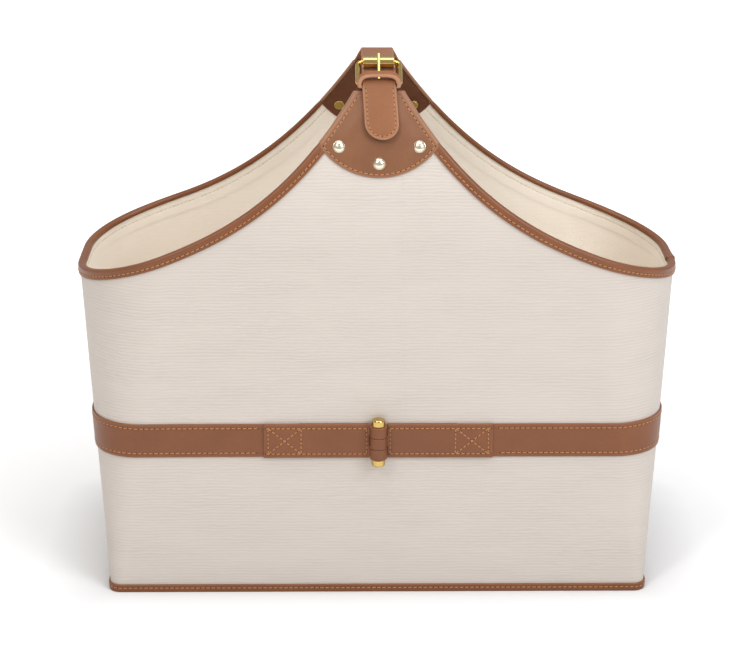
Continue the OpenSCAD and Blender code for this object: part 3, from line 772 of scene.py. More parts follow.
def rim_section():
    """Section of the rim's leather as (distance in, depth), rolled over the wall's edge."""
    near = RIM_ROW + np.array([1.3, 0.9, 0.5, 0.25, 0, -0.25, -0.5, -0.9, -1.4])
    face = np.array([RIM_OUT - 0.5, *near, 2.2, 1.6])
    off = -LEATHER_T + GROOVE * bell(face - RIM_ROW, 0.5)
    start = [(-LEATHER_T + 0.45, RIM_OUT), (ROW_OFF, RIM_OUT - 0.15)]
    outside = start + list(zip(off, face))
    mid, reach = (INNER_T - LEATHER_T) / 2, (INNER_T + LEATHER_T) / 2
    roll_d, flat = 1.3, 0.72
    over = [(mid - reach * squared(math.cos(a), flat),
             roll_d - (roll_d + LEATHER_T) * squared(math.sin(a), flat))
            for a in np.linspace(0, math.pi, 17)]
    inside = [(INNER_T, 1.9), (INNER_T - 0.15, RIM_IN - 0.1), (INNER_T - 0.5, RIM_IN),
              (WALL_T, RIM_IN), (WALL_T, 0.02), (0, 0.02), (0, RIM_OUT)]
    ring = np.array(outside + over + inside)
    tint = np.where(ring[:, 0] < 0, np.clip(1 - np.abs(ring[:, 1] - RIM_OUT) / 0.9, 0, 1), 0)
    tint += np.clip(1 - np.hypot(ring[:, 0] - INNER_T, ring[:, 1] - RIM_IN) / 0.9, 0, 1)
    return ring[:, 0], ring[:, 1], np.clip(tint, 0, 1)


def make_rim():
    off, depth, tint = rim_section()
    half = np.concatenate([span(BAND_FROM, FLAT_L, 2.4), span(FLAT_L, QUARTER_L, 2.4)[1:]])
    lap = QUARTER_L - LAP_BACK
    near = half[half < lap - 1]
    go = lambda s, side: [(x, side) for x in s]
    routes = {
        "rim_band_left": ("rim_binding_left", go(-half, BACK) + go(-half[-2::-1], FRONT)),
        "rim_band_front_right": ("rim_binding_front_right", go(near[::-1], FRONT)),
        "rim_band_back_right": (
            "rim_binding_back_right",
            go(span(lap - LAP_OVER, QUARTER_L, 2.2), FRONT) + go(half[-2::-1], BACK),
        ),
    }
    for name, (node, route) in routes.items():
        s, side = (np.array(a) for a in zip(*route))
        grow = -0.35 * np.clip((BAND_SHOWN - np.abs(s)) / 1.5, 0, 1)
        if name == "rim_band_back_right":
            grow = grow + 0.55 * np.clip(1 - np.arange(len(s)) / 7.0, 0, 1)
        sign = np.where(off < WALL_T / 2, 1, -1)
        moved = off[None, :] - grow[:, None] * sign[None, :] * (np.abs(off - WALL_T / 2) > 2.1)
        deep = depth[None, :] - grow[:, None] * (depth < 0.9)
        rings = below_rim(s[:, None], deep, moved, side[:, None])
        piece = loft(name, rings, tan_leather, edge=tint[None, :])
        finish_piece(piece, "bin", "leather", node)
        s, side, grow = (a[np.abs(s) > BAND_SHOWN] for a in (s, side, grow))
        leather_seam.on_wall(*below(s, RIM_ROW), ROW_OFF - grow, side, pitch=4.0)


make_rim()

# ---------------------------------------------------------------- patches and rivets

PATCH_R, PATCH_LOW_Z, PATCH_HALF = 54.5, 327.3, 43.2
PATCH_Z = PATCH_LOW_Z + PATCH_R
PATCH_ROW = 2.6
RIVET_PLACES = ((-29.4, 349.0), (0.0, 337.3), (29.4, 349.0))
rim_x = np.concatenate([-RIM_LINE[::-8, 0], [0], RIM_LINE[::8, 0]])
rim_points = np.stack([rim_x, rim_height(rim_x)], -1)


def to_rim(x, z):
    """Distance from a point of a patch to the rim line."""
    close = rim_points[np.abs(rim_points[:, 0]) < 70]
    flat = np.stack([x.ravel(), z.ravel()], -1)
    a, b = close[:-1], close[1:]
    ab = b - a
    t = ((flat[:, None] - a) * ab).sum(-1) / np.maximum((ab * ab).sum(-1), 1e-9)
    near = a + ab * np.clip(t, 0, 1)[..., None]
    return np.sqrt(((flat[:, None] - near) ** 2).sum(-1)).min(1).reshape(x.shape)


def patch_height(x, z, edge_r, thick):
    """Height of a patch's face above what it lies on, and its edge tint."""
    d_arc = PATCH_R - np.hypot(x, PATCH_Z - z)
    d_rim = to_rim(x, z)
    h = thick * round_edge(d_arc, edge_r)
    row = np.maximum(bell(d_arc - PATCH_ROW, 0.55), bell(d_rim - PATCH_ROW, 0.55))
    inner = np.minimum(d_arc, d_rim)
    puff = np.clip((inner - 2.8) / 11, 0, 1)
    h = h - GROOVE * row + 0.85 * puff * puff * (3 - 2 * puff)
    for rx, rz in RIVET_PLACES:
        h = h - 0.8 * bell(np.hypot(x - rx, z - rz), 6.8) * puff
    return h, np.clip(1 - inner / 2.4, 0, 1)


def patch_columns():
    kink = PEAK_W / 2
    base = np.concatenate([span(-PATCH_HALF, PATCH_HALF, 0.7),
                           span(kink - 0.5, kink + 1.3, 0.2), -span(kink - 0.5, kink + 1.3, 0.2)])
    return np.array(sorted(set(np.round(base, 3))))


def low_edge(x):
    return PATCH_Z - np.sqrt(PATCH_R**2 - x**2)


def patch_grid(roll_d, rows, crowd):
    """Columns, slant, whether each is rolled over the rim, heights, thickness and edge tint."""
    s = patch_columns()[:, None]
    n = rim_slant(s)
    rolled = np.clip((np.abs(s) - PEAK_W / 2 - 0.1) / 0.9, 0, 1)
    top = rim_height(s) - roll_d(rolled) * n
    low = np.minimum(low_edge(s), top - 0.05)
    z = low + (top - low) * clustered(rows, crowd)[None, :]
    return (s, n, rolled, z, *patch_height(np.broadcast_to(s, z.shape), z, 0.8, LEATHER_T))


def make_outer_patch(where, side):
    roll_d = 0.9
    s, _, rolled, z, h, tint = patch_grid(lambda rolled: roll_d, 66, 2.1)
    face = wall(s, z, -h, side)
    reach = mix(-0.03, INNER_T + 0.3, rolled)
    lift = mix(0.0, LEATHER_T, rolled)
    middle, wide = (reach - h[:, -1:]) / 2, (reach + h[:, -1:]) / 2
    turn = np.linspace(0, math.pi, 15)[None, 1:]
    flat = 0.7
    off = middle - wide * squared(np.cos(turn), flat)
    deep = roll_d - (roll_d + lift) * squared(np.sin(turn), flat)
    over = below_rim(s, deep, off, side)
    back_off = np.maximum(reach - 1.1, -0.03)
    hidden_off = np.concatenate([back_off, back_off, np.full_like(s, -0.03)], 1)
    hidden = below_rim(s, np.array([[roll_d, -0.05, -0.05]]), hidden_off, side)
    behind = wall(s, mix(z[:, -1:], z[:, :1], np.linspace(0, 1, 5)[None, :]), -0.03, side)
    rings = np.concatenate([face, over, hidden, behind], 1)
    tint_over = np.broadcast_to(np.abs(np.sin(turn)) * 0.5 + 0.5, off.shape)
    tints = np.concatenate([tint, tint_over, np.zeros((len(s), 8))], 1)
    piece = loft(f"patch_{where}_outer", rings, patch_leather, edge=tints)
    return finish_piece(piece, "bin", "leather", f"{where}_patch_outer")


def make_inner_patch(where, side):
    s, n, _, z, h, tint = patch_grid(lambda rolled: mix(0.0, 0.95, rolled), 50, 1.9)
    h = h * (0.25 + 0.75 * round_edge((z[:, -1:] - z) / n, 0.6))
    face = wall(s, z, WALL_T + 0.06 + h, side)
    back = wall(s, z, WALL_T + 0.03, side)
    piece = slab(f"patch_{where}_inner", face, back, brown_leather, edge=tint)
    return finish_piece(piece, "bin", "leather", f"{where}_patch_inner")


def patch_rows(side):
    s = span(PATCH_HALF + 2, PEAK_W / 2 + 2.4, 0.5)
    x, z = below(s, PATCH_ROW)
    r = PATCH_R - PATCH_ROW
    inside = np.hypot(x, PATCH_Z - z) < r
    x, z = x[inside], z[inside]
    end = math.atan2(x[0], PATCH_Z - z[0])
    turn = np.linspace(-end, end, 90)
    for row in ((-x, z), (x, z), (r * np.sin(turn), PATCH_Z - r * np.cos(turn))):
        leather_seam.on_wall(*row, ROW_OFF, side, pitch=3.9)


def lathe_rings(profile, count=48):
    """Rings of a turned shape, whose profile is (radius, height) from one end to the other."""
    turn = np.arange(count) / count * 2 * math.pi
    r, h = (np.array(a)[:, None] for a in zip(*profile))
    return np.stack([r * np.cos(turn), r * np.sin(turn), np.broadcast_to(h, (len(r), count))], -1)


def smooth_profile(points, cuts):
    """Rounds a profile's corners, keeping its ends."""
    p = np.array(points, float)
    for _ in range(cuts):
        q = [p[0]]
        for a, b in zip(p[:-1], p[1:]):
            q += [a * 0.75 + b * 0.25, a * 0.25 + b * 0.75]
        p = np.array(q + [p[-1]])
    return p


def on_panel(side, x, z):
    a = lean_angle(z)
    out = (0, side * math.cos(a), math.sin(a))
    up = (0, -side * math.sin(a), math.cos(a))
    return (x, side * half_d(z), z), (1, 0, 0), up, out


def make_rivets():
    """Domed heads with a thin rim and a post, and flat caps inside."""
    dome = [(0.02, 1.75), (0.8, 1.72), (1.6, 1.6), (2.4, 1.38), (3.0, 1.1), (3.5, 0.75),
            (3.85, 0.35), (4.0, 0.16), (4.25, 0.14), (4.55, 0.1), (4.6, -0.1), (4.3, -0.25),
            (1.5, -0.26), (1.5, -4.6), (0.02, -4.6)]
    cap = [(0.02, 0.95), (2.2, 0.92), (3.3, 0.78), (3.9, 0.5), (4.1, 0.15), (4.1, -0.1),
           (0.02, -0.12)]
    heads, caps = [], []
    for side in (FRONT, BACK):
        for x, z in RIVET_PLACES:
            (px, py, pz), right, up, out = on_panel(side, x, z)
            cos = math.cos(lean_angle(z))
            for profile, off, target, way in ((dome, -LEATHER_T, heads, 1),
                                              (cap, WALL_T + LEATHER_T, caps, -1)):
                seat = -off * cos + (0.14 if way > 0 else -0.05)
                origin = np.array([px, py, pz]) + np.array(out) * seat
                axes = np.array([right, up, np.array(out) * way], float)
                target.append(ring_part(lathe_rings(smooth_profile(profile, 2)) @ axes + origin))
    finish_piece(merged("rivet_heads", heads, pale_brass), "bin", "brass", "rivets")
    finish_piece(merged("rivet_caps_inside", caps, dull_brass), "bin", "brass", "rivet_caps")


for side, where in HALVES:
    make_outer_patch(where, side)
    make_inner_patch(where, side)
    patch_rows(side)
make_rivets()

# ---------------------------------------------------------------- belt tabs and pin

BELT_SLOPE = math.atan((BASE_D - RIM_D) / 2 / RIM_Z)
BARREL_R = 6.5
BARREL_Y = -BARREL_R - 0.4
TAB_W = BELT_W + 0.6
BARREL_HALF, BARREL_UP = 13.0, 0.6
TAB_FACE = -LEATHER_T - 0.1


def on_belt(p):
    """From the belt's own frame, whose Z runs up in the front's plane, to the part's frame."""
    c, s = math.cos(BELT_SLOPE), math.sin(BELT_SLOPE)
    x, y, z = p[..., 0], p[..., 1], p[..., 2]
    return np.stack([x, -half_d(BELT_Z) + y * c + z * s, BELT_Z - y * s + z * c], -1)


def box_lines():
    """The stitched box with its two diagonals, at the tab's outer end, as ((x0, z0), (x1, z1))."""
    x0, x1, z = TAB_L - 3.6, TAB_L - 28.5, TAB_W / 2 - ROW_IN
    return [((x0, -z), (x0, z)), ((x1, -z), (x1, z)), ((x0, -z), (x1, z)), ((x0, z), (x1, -z))]


def to_line(x, z, line):
    """Distance from a point to a line between two points."""
    (ax, az), (bx, bz) = line
    dx, dz = bx - ax, bz - az
    t = np.clip(((x - ax) * dx + (z - az) * dz) / (dx**2 + dz**2), 0, 1)
    return np.hypot(x - ax - t * dx, z - az - t * dz)


def straight_row(a, b, face, sign, pitch=3.9):
    x, z = np.linspace(a, b, 60).T
    line, above = (on_belt(np.stack([x * sign, np.full_like(x, y), z], -1)) for y in (face, face - 1))
    leather_seam.row(line, above - line, pitch=pitch)


def knuckle(z0, z1, sign):
    """The leather folded round the pin between two heights."""
    fillet = 1.6
    path = [(-BARREL_R - fillet - 3, TAB_FACE - LEATHER_T + 0.25)]
    centre = (-BARREL_R - fillet, TAB_FACE - LEATHER_T - fillet)
    path += [(centre[0] + fillet * math.sin(a), centre[1] + fillet * math.cos(a))
             for a in np.linspace(0, math.pi / 2, 6)]
    path += [(BARREL_R * math.cos(a), BARREL_Y + BARREL_R * math.sin(a))
             for a in np.linspace(math.pi, 2.5 * math.pi, 46)]
    path += [(-3.5, -0.4), (-BARREL_R - fillet - 3, -0.4)]
    path = np.array(path)
    mid = np.array([0, BARREL_Y])
    steps = [(0, 0.55), (0.08, 0.3), (0.22, 0.12), (0.45, 0.02), (0.8, 0)]
    levels = [(z0 + a, b) for a, b in steps] + [(z1 - a, b) for a, b in reversed(steps)]
    rings = []
    for z, inset in levels:
        away = path - mid
        shrunk = mid + away * (1 - inset / np.maximum(np.linalg.norm(away, axis=1), 3))[:, None]
        rings.append(np.column_stack([shrunk[:, 0] * sign, shrunk[:, 1], np.full(len(path), z)]))
    rings = on_belt(np.array(rings))
    return ring_part(rings, np.repeat([min(b / 0.4, 1) for _, b in levels], len(path)))


def make_tab(name, node, sign, spans):
    neck = BARREL_R + 0.4
    lengths = np.array(sorted(set(np.round(np.concatenate([
        neck + (TAB_L - neck) * clustered(110, 1.3), span(TAB_UNDER - 2, TAB_UNDER, 0.5)]), 3))))
    x, z = np.meshgrid(lengths, TAB_W * (clustered(64, 1.5) - 0.5), indexing="ij")
    d = np.minimum(TAB_L - x, TAB_W / 2 - np.abs(z))
    grooves = bell(TAB_W / 2 - ROW_IN - np.abs(z), 0.5)
    column = ((8.9, -TAB_W / 2 + ROW_IN), (8.9, TAB_W / 2 - ROW_IN))
    for line in [*box_lines(), column]:
        grooves = np.maximum(grooves, bell(to_line(x, z, line), 0.5))
    h = LEATHER_T * round_edge(d, 0.6) - GROOVE * grooves + 0.12 * np.clip(d / 6, 0, 1)
    top = on_belt(np.stack([x * sign, TAB_FACE - h, z], -1))
    under = np.where(x > TAB_UNDER - 1.4, TAB_FACE + 0.05, -0.12)
    bottom = on_belt(np.stack([x * sign, under, z], -1))
    n, m = x.shape
    parts = [(np.concatenate([top.reshape(-1, 3), bottom.reshape(-1, 3)]), slab_faces(n, m),
              np.tile(np.clip(1 - d / 1.1, 0, 1).ravel(), 2))]
    parts += [knuckle(z0, z1, -sign) for z0, z1 in spans]
    finish_piece(merged(name, parts, tan_leather), "bin", "leather", node)
    face = TAB_FACE - LEATHER_T + 0.1
    zr = TAB_W / 2 - ROW_IN
    for row in (-zr, zr):
        straight_row((neck + 1.2, row), (TAB_L - 1.5, row), face, sign)
    for line in box_lines():
        straight_row(*line, face, sign, pitch=3.4)
    straight_row(*column, face, sign, pitch=3.4)


def make_tabs():
    gap = 0.2
    length = (2 * BARREL_HALF - 2 * gap) / 3
    low, high = BARREL_UP - BARREL_HALF, BARREL_UP + BARREL_HALF
    outer = [(low, low + length), (high - length, high)]
    middle = [(BARREL_UP - length / 2, BARREL_UP + length / 2)]
    make_tab("belt_tab_left_leather", "belt_tab_left", -1, outer)
    make_tab("belt_tab_right_leather", "belt_tab_right", 1, middle)


KNOB = [(4.5, 0), (5.0, 0.12), (5.2, 0.5), (5.2, 1.2), (5.2, 3.2), (5.15, 4.3), (4.8, 5.0),
        (4.3, 5.45), (3.5, 5.6), (2.2, 5.5), (1.6, 5.25), (0.8, 5.2), (0.02, 5.2)]


def make_pin():
    half = BARREL_HALF + 0.2
    up = [(0.02, -3.0), (2.4, -3.0), (2.4, 0.0)] + KNOB
    down = [(0.02, -2 * half + 3.5), (4.0, -2 * half + 3.5), (4.0, 0.0)] + KNOB
    for name, node, profile, way in (("pin_knob_upper", "belt_pin_knob", up, 1),
                                     ("pin_and_lower_knob", "belt_pin", down, -1)):
        corner = smooth_profile(profile[2:], 2)
        rings = lathe_rings([*profile[:2], *corner], 64)
        rings[..., 2] = way * (rings[..., 2] + half) + BARREL_UP
        rings[..., 1] += BARREL_Y
        rings = on_belt(rings)
        finish_piece(loft(name, rings, bright_brass), "pin", "brass", node)


make_tabs()
make_pin()

# ---------------------------------------------------------------- strap, keeper and buckle

WIRE_R = 1.7
BAR_Z = 391.3
BAR_Y = -half_d(BAR_Z) + WALL_T / 2
TILT = math.radians(30.7)
FRAME_L, FRAME_W = 23.5, 34.6
ROLLER_R = 4.4
CHAPE_R = WIRE_R + 1.5
STRAP_W, STRAP_T = 25.0, 2.2
STRAP_BEND = CHAPE_R + 0.3 + STRAP_T / 2
TAIL_TURN = math.radians(150)
TAIL_L = 44.3
FOLD_Z, FOLD_R = 397.6, 5.0


def on_bar(p, turn):
    """From a frame on the base bar, whose Y is turned up by turn, to the part's frame."""
    c, s = math.cos(turn), math.sin(turn)
    x, y, z = p[..., 0], p[..., 1], p[..., 2]
    return np.stack([x, BAR_Y + y * c - z * s, BAR_Z + y * s + z * c], -1)


def strap_path():
    """The strap's middle line from between the back patches to the tail's end, as (y, z)."""
    top = FOLD_Z - FOLD_R / 2
    z = np.linspace(PANEL_TOP_Z + 1, top, 8)
    back = [(half_d(a) - WALL_T / 2, a) for a in z]
    leaning = lean_angle(top)
    fold_y = back[-1][0] - FOLD_R * math.cos(leaning)
    bend = [(fold_y + FOLD_R * math.cos(a), FOLD_Z - FOLD_R + FOLD_R * math.sin(a))
            for a in np.linspace(leaning + 0.17, math.pi / 2, 7)]
    roller_y, roller_z = BAR_Y + FRAME_L * math.cos(TILT), BAR_Z + FRAME_L * math.sin(TILT)
    under = roller_z - ROLLER_R - 0.3 - STRAP_T / 2
    first = math.pi / 2 + math.atan((under - BAR_Z - STRAP_BEND) / (roller_y - BAR_Y))
    wrap = [(BAR_Y + STRAP_BEND * math.cos(a), BAR_Z + STRAP_BEND * math.sin(a))
            for a in np.linspace(first, TAIL_TURN, 10)]
    run = TAIL_TURN + math.pi / 2
    tail = [(wrap[-1][0] + a * math.cos(run), wrap[-1][1] + a * math.sin(run))
            for a in np.linspace(0, TAIL_L, 40)[1:]]
    return np.array(back + bend + [(roller_y, under)] + wrap + tail)


def resampled(path, step, soften):
    """Evenly spaced points of a path with softened corners, and their distances along it."""
    along = np.concatenate([[0], np.cumsum(np.linalg.norm(np.diff(path, axis=0), axis=1))])
    q = span(0, along[-1], step)
    p = np.stack([np.interp(q, along, path[:, c]) for c in (0, 1)], -1)
    for _ in range(soften):
        p[1:-1] = 0.25 * p[:-2] + 0.5 * p[1:-1] + 0.25 * p[2:]
    return p, q


path, path_at = resampled(strap_path(), 0.5, 6)
STRAP_END = path_at[-1]
TAIL_AT = STRAP_END - TAIL_L
LEAN_SIDE = math.tan(math.radians(3.6))
TAIL_ROW = 2.5


def strap_frame(q):
    """Middle, up direction and sideways drift of the strap at distance q along it."""
    a, c, b = (np.stack([np.interp(q + e, path_at, path[:, k]) for k in (0, 1)], -1)
               for e in (-0.4, 0, 0.4))
    v = b - a
    v /= np.maximum(np.linalg.norm(v, axis=-1, keepdims=True), 1e-9)
    drift = np.maximum(q - TAIL_AT - 3, 0) * LEAN_SIDE
    curl = 0.35 * np.clip((q - TAIL_AT) / TAIL_L, 0, 1) ** 2
    return c, np.stack([v[..., 1], -v[..., 0]], -1), drift, curl


def strap_points(x, q, h):
    c, up, drift, curl = strap_frame(q)
    h = h + curl
    return np.stack([x + drift, c[..., 0] + up[..., 0] * h, c[..., 1] + up[..., 1] * h], -1)


def strap_margin(x, q):
    """Distance from a point of the strap to its outline, which ends in a half circle."""
    r = STRAP_W / 2
    beyond = np.maximum(q - (STRAP_END - r), 0)
    return r - np.hypot(x, beyond)


def make_strap():
    r = STRAP_W / 2
    round_part = STRAP_END - r + r * np.sin(np.linspace(0, math.pi / 2, 46))
    q = np.concatenate([span(0, STRAP_END - r, 0.9)[:-1], round_part])
    u = clustered(59, 1.7) * 2 - 1
    width = np.sqrt(np.maximum(r**2 - np.maximum(q - (STRAP_END - r), 0) ** 2, 1e-4))
    width = width + np.interp(q, (12.5, 16, 20, 23, 26), (5.6, 3.9, 2.3, 0.9, 0))
    x = width[:, None] * u[None, :]
    q2 = np.broadcast_to(q[:, None], x.shape)
    d = np.where(q2 > 40, np.maximum(strap_margin(x, q2), 0), width[:, None] - np.abs(x))
    on_tail = np.clip((q2 - TAIL_AT - 2) / 3, 0, 1)
    full, groove, belly = STRAP_T / 2, 0.22, 0.22
    side = full * round_edge(d, 0.9)
    top = side - groove * bell(d - TAIL_ROW, 0.5) * on_tail
    top = top + belly * np.clip((d - 3) / 5, 0, 1) * on_tail
    # The prong rises through a slot, left open in the grid's faces
    slot_mid, slot_half_l, slot_half_w = BAR_Y + 3.9, 5.6, 1.75
    y, z = np.moveaxis(strap_frame(q2)[0], -1, 0)
    inside = np.abs(x + np.diff(u, append=u[-1])[None, :] * width[:, None] / 2) < slot_half_w
    inside &= (np.abs(y - slot_mid) < slot_half_l) & (z > BAR_Z + 3)
    keep = ~inside[:-1, :-1]
    tint = np.clip(1 - d / 1.9, 0, 1) * mix(0.35, 1.0, on_tail)
    obj = slab("strap", strap_points(x, q2, top), strap_points(x, q2, -side), strap_leather,
               keep=keep, edge=tint)
    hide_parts("top_strap", "strap_tail")
    a, b = strap_points(np.zeros(2), np.array([TAIL_AT - 1.5, TAIL_AT + 7.0]), np.zeros(2))
    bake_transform(obj)
    inset = r - TAIL_ROW
    run = span(TAIL_AT + 5.5, STRAP_END - r, 0.5)
    turn = np.linspace(0, math.pi, 60)
    outline_x = np.concatenate([np.full(len(run), inset), inset * np.cos(turn[1:-1]),
                                np.full(len(run), -inset)])
    outline_q = np.concatenate([run, STRAP_END - r + inset * np.sin(turn[1:-1]), run[::-1]])
    line = strap_points(outline_x, outline_q, np.full(len(outline_x), full - 0.12))
    above = strap_points(outline_x, outline_q, np.full(len(outline_x), full + 1))
    tail_seam.row(line, above - line, pitch=3.5, radius=0.31)
    stitches = tail_seam.build("tail_stitching", tan_thread, leather_hole_shade)
    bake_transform(stitches)


make_strap()


def make_keeper():
    """A leather loop, squarish over the strap, whose ends are tucked in beside it."""
    half, thick, top_z, power = 13.3, 1.7, 397.9, 3.6
    y0, y1 = -60.2, -54.8
    foot = PEAK_Z + 1.3
    turn = np.linspace(0.02, math.pi - 0.02, 84)
    c, s = squared(np.cos(turn), 2 / power), squared(np.sin(turn), 2 / power)
    r = 0.7
    corner = np.radians([0, 25, 50, 75, 90])
    section = [(thick - r + r * math.sin(a), y0 + r - r * math.cos(a)) for a in corner]
    section += [(thick + 0.12, y) for y in np.linspace(y0 + 1.4, y1 - 1.4, 4)]
    section += [(thick - r + r * math.sin(a), y1 - r + r * math.cos(a)) for a in corner[::-1]]
    section += [(0.2, y1), (0.0, y1 - 0.2), (0.0, y0 + 0.2), (0.2, y0)]
    rings = []
    for grow, y in section:
        share = (y - y0) / (y1 - y0)
        x = c * (half + 1.8 * grow) - np.sign(c) * 1.1 * bell(s, 0.25)
        z = foot + s * (top_z - foot + grow) + (1.5 * np.sin(turn) + 0.8) * share
        rings.append(np.column_stack([x, np.full(len(turn), y), z]))
    rings = np.array(rings).transpose(1, 0, 2)
    tint = np.array([max(0, 1 - min(abs(y - y0), abs(y - y1)) / 1.0) for _, y in section])
    keeper = loft("keeper_loop", rings, strap_leather, edge=tint[None, :])
    finish_piece(keeper, "bin", "leather", "strap_keeper")


make_keeper()


def make_chape():
    """The leather loop round the base bar, in two halves beside the prong."""
    foot_z = PANEL_TOP_Z + 1.6
    foot_y = -half_d(foot_z) + WALL_T / 2
    turn = math.atan2(BAR_Z - foot_z, BAR_Y - foot_y) - math.pi / 2
    length = math.hypot(BAR_Z - foot_z, BAR_Y - foot_y)
    ply = WALL_T / 2 - 0.25
    start = math.asin(ply / CHAPE_R)
    loop = [(CHAPE_R * math.cos(a), CHAPE_R * math.sin(a))
            for a in np.linspace(-math.pi / 2 + start, 1.5 * math.pi - start, 40)]
    section = [(-ply, -length), (ply, -length), (ply, -CHAPE_R - 1), *loop, (-ply, -CHAPE_R - 1)]
    steps = [(2.25, 0.3), (2.4, 0.08), (2.8, 0), (7, 0), (12.0, 0), (12.35, 0.08), (12.5, 0.3)]
    parts = []
    for sign in (-1, 1):
        rings = np.array([[(sign * x, y * (1 - inset / 3), z * (1 - inset / 20))
                           for y, z in section] for x, inset in steps])
        tint = np.repeat([1 if inset else 0 for _, inset in steps], rings.shape[1])
        parts.append(ring_part(on_bar(rings, turn), tint))
    chape = merged("buckle_chape_leather", parts, strap_leather)
    finish_piece(chape, "bin", "leather", "buckle_chape")


def wire_rings(points, r, sides):
    """Round wire along a closed path in the plane Z = 0 of the frame on the bar."""
    ahead = np.roll(points, -1, 0) - np.roll(points, 1, 0)
    ahead /= np.linalg.norm(ahead, axis=1, keepdims=True)
    out = np.stack([ahead[:, 1], -ahead[:, 0], np.zeros(len(points))], -1)
    up = np.array([0, 0, 1.0])
    turn = np.arange(sides) / sides * 2 * math.pi
    ring = out[:, None] * np.cos(turn)[None, :, None] + up * np.sin(turn)[None, :, None]
    return points[:, None] + r * ring


FAR_R, HEEL_R = 3.8, 2.4


def make_buckle_frame():
    x, far = FRAME_W / 2 - WIRE_R, FRAME_L - FAR_R
    bends = [((x - HEEL_R, HEEL_R), HEEL_R, -90), ((x - FAR_R, far), FAR_R, 0),
             ((-x + FAR_R, far), FAR_R, 90), ((-x + HEEL_R, HEEL_R), HEEL_R, 180)]
    path = [(cx + r * math.cos(a), cy + r * math.sin(a), 0) for (cx, cy), r, start in bends
            for a in np.radians(np.linspace(start, start + 90, 18))]
    rings = on_bar(wire_rings(np.array(path), WIRE_R, 28), TILT)
    wire = loft("buckle_frame_wire", rings, bright_brass, closed=True)
    finish_piece(wire, "frame", "brass", "buckle_frame")


def make_roller():
    half, bore, r = FRAME_W / 2 - WIRE_R - FAR_R - 0.15, WIRE_R + 0.06, ROLLER_R
    end = [(r - 0.5, half), (r - 0.15, half - 0.12), (r, half - 0.5), (r, half - 1.5)]
    outer = [(a, -b) for a, b in end] + end[::-1]
    profile = [*smooth_profile(outer, 1), (bore, half), (bore, -half)]
    rings = lathe_rings(profile, 64)
    rings = np.stack([rings[..., 2], rings[..., 0] + FRAME_L, rings[..., 1]], -1)
    rings = on_bar(rings, TILT).transpose(1, 0, 2)
    roller = loft("buckle_roller_tube", rings, bright_brass, closed=True)
    finish_piece(roller, "roller", "brass", "buckle_roller")


def make_prong():
    """A squarish bar with a rounded tip, and the eye that turns on the base bar."""
    thick, wide, tip, sides = 2.1, 2.6, 1.2, 24
    lift = math.asin((ROLLER_R + thick / 2 + 0.06) / FRAME_L)
    reach = FRAME_L + 2.8 + thick / 2
    round_part = reach - tip + tip * np.sin(np.linspace(0.2, 1.52, 8))
    turn = np.arange(sides) / sides * 2 * math.pi
    c, s = squared(np.cos(turn), 0.75), squared(np.sin(turn), 0.75)
    rings = []
    for y in np.concatenate([span(2.4, reach - tip, 0.8), round_part]):
        end = math.sqrt(max(1 - (max(y - (reach - tip), 0) / tip) ** 2, 0.002))
        w = wide / 2 * mix(1.0, 0.88, min(y / reach, 1)) * end
        rings.append(np.stack([w * c, np.full(sides, y), thick / 2 * end * s], -1))
    arm = on_bar(np.array(rings), TILT + lift)
    half_eye = [(1.76, -1.1), (2.2, -1.3), (2.7, -1.3), (3.0, -1.0)]
    loop = lathe_rings(half_eye + [(r, -h) for r, h in half_eye[::-1]], 48)
    loop = np.stack([loop[..., 2], loop[..., 0], loop[..., 1]], -1).transpose(1, 0, 2)
    parts = [ring_part(arm), ring_part(on_bar(loop, TILT + lift), closed=True)]
    finish_piece(merged("buckle_prong_bar", parts, bright_brass), "prong", "brass", "buckle_prong")


make_chape()
make_buckle_frame()
make_roller()
make_prong()

for seam, name, yarn, hole in ((leather_seam, "leather_stitching", tan_thread, leather_hole_shade),
                               (lining_seam, "lining_stitching", cream_thread, cloth_hole_shade),
                               (canvas_seam, "canvas_stitching", cream_thread, cloth_hole_shade)):
    finish_piece(seam.build(name, yarn, hole), "bin", "thread")

# ---------------------------------------------------------------- camera, floor and light

LOOK_AT = Vector((0, 0, 0.1824))
DISTANCE, ELEVATION, AZIMUTH = 1.735, math.radians(18.68), math.radians(-1.0)
LENS_MM = 105.6
ROLL = math.radians(0.25)
back = Vector((math.sin(AZIMUTH) * math.cos(ELEVATION), -math.cos(AZIMUTH) * math.cos(ELEVATION),
               math.sin(ELEVATION)))
camera = bpy.data.objects.new("camera", bpy.data.cameras.new("camera"))
camera.data.lens = LENS_MM
camera.data.sensor_width = 36
camera.data.shift_x = -0.0023
camera.data.shift_y = 0.0007
camera.location = LOOK_AT + back * DISTANCE
camera.rotation_mode = "QUATERNION"
camera.rotation_quaternion = Quaternion(back, ROLL) @ (-back).to_track_quat("-Z", "Y")
bpy.context.scene.collection.objects.link(camera)
bpy.context.scene.camera = camera


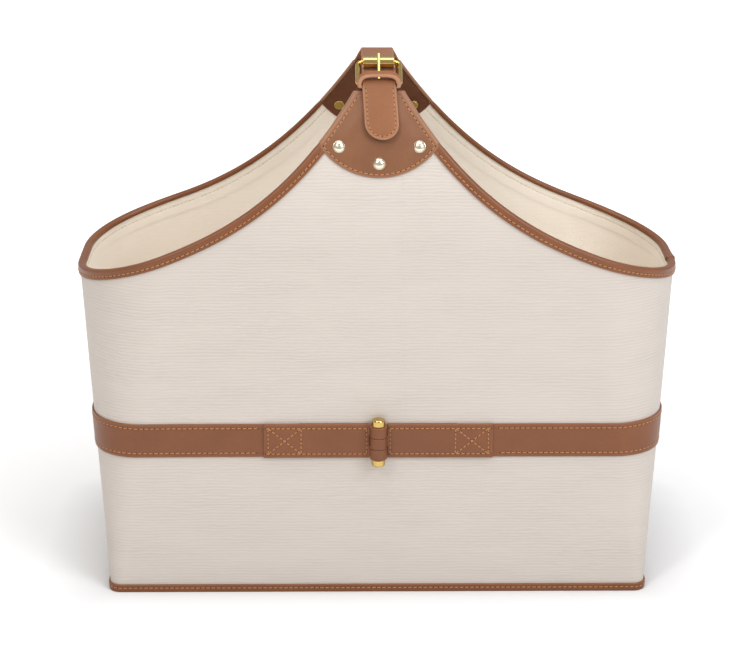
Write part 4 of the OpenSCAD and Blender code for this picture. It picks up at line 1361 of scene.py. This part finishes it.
def make_floor():
    """A disc of pale paper. It glows a little, more so away from the foot, and so has no edge."""
    g = Graph("floor_paper", Specular_IOR_Level=0.1)
    tooth = g.noise(g.place, 0.02, 2.0, 0.5)
    g.shader.inputs["Emission Color"].default_value = (1, 1, 1, 1)
    past = g.vector("SUBTRACT", g.vector("ABSOLUTE", g.place), (BASE_W / 2, BASE_D / 2, 0))
    out = g.vector("LENGTH", g.vector("MAXIMUM", past))
    lit = g.math("ADD", g.fit(out, 3, 60, 0.0, 0.2), g.fit(out, 60, 1000, 0.0, 0.5))
    g.link(lit, g.shader.inputs["Emission Strength"])
    material = g.finish(g.blend(tooth, (0.71, 0.71, 0.71), (0.73, 0.73, 0.73)), 0.9)
    turn = np.arange(64) / 64 * 2 * math.pi
    rings = np.array([[(r * math.cos(a), r * math.sin(a), 0) for a in turn]
                      for r in (10, 400, 1500, 9000)])
    faces = loft_faces(*rings.shape[:2], False)
    floor = make_object("floor", rings.reshape(-1, 3), faces[:-1], [material])
    for polygon in floor.data.polygons:
        if polygon.normal.z < 0:
            polygon.flip()


def add_light(name, place, size, power, colour=(1, 1, 1)):
    light = bpy.data.objects.new(name, bpy.data.lights.new(name, "AREA"))
    light.data.shape = "RECTANGLE"
    light.data.size, light.data.size_y = size
    light.data.energy = power
    light.data.color = colour
    light.location = place
    aim = Vector((0, 0, 0.2)) - Vector(place)
    light.rotation_mode = "QUATERNION"
    light.rotation_quaternion = aim.to_track_quat("-Z", "Y")
    bpy.context.scene.collection.objects.link(light)


make_floor()
add_light("overhead", (0.0, -0.3, 2.2), (2.0, 1.4), 28)
add_light("front_left", (-1.2, -1.8, 2.1), (0.5, 0.5), 18, (1, 0.95, 0.9))
add_light("front_right", (1.6, -1.8, 1.8), (1.2, 1.2), 36, (0.92, 0.955, 1))

world = bpy.data.worlds.new("studio")
world.use_nodes = True
bpy.context.scene.world = world
sky = world.node_tree.nodes["Background"]
sky.inputs["Color"].default_value = (1, 1, 1, 1)
sky.inputs["Strength"].default_value = 0.5
bpy.context.scene.view_settings.view_transform = "Standard"
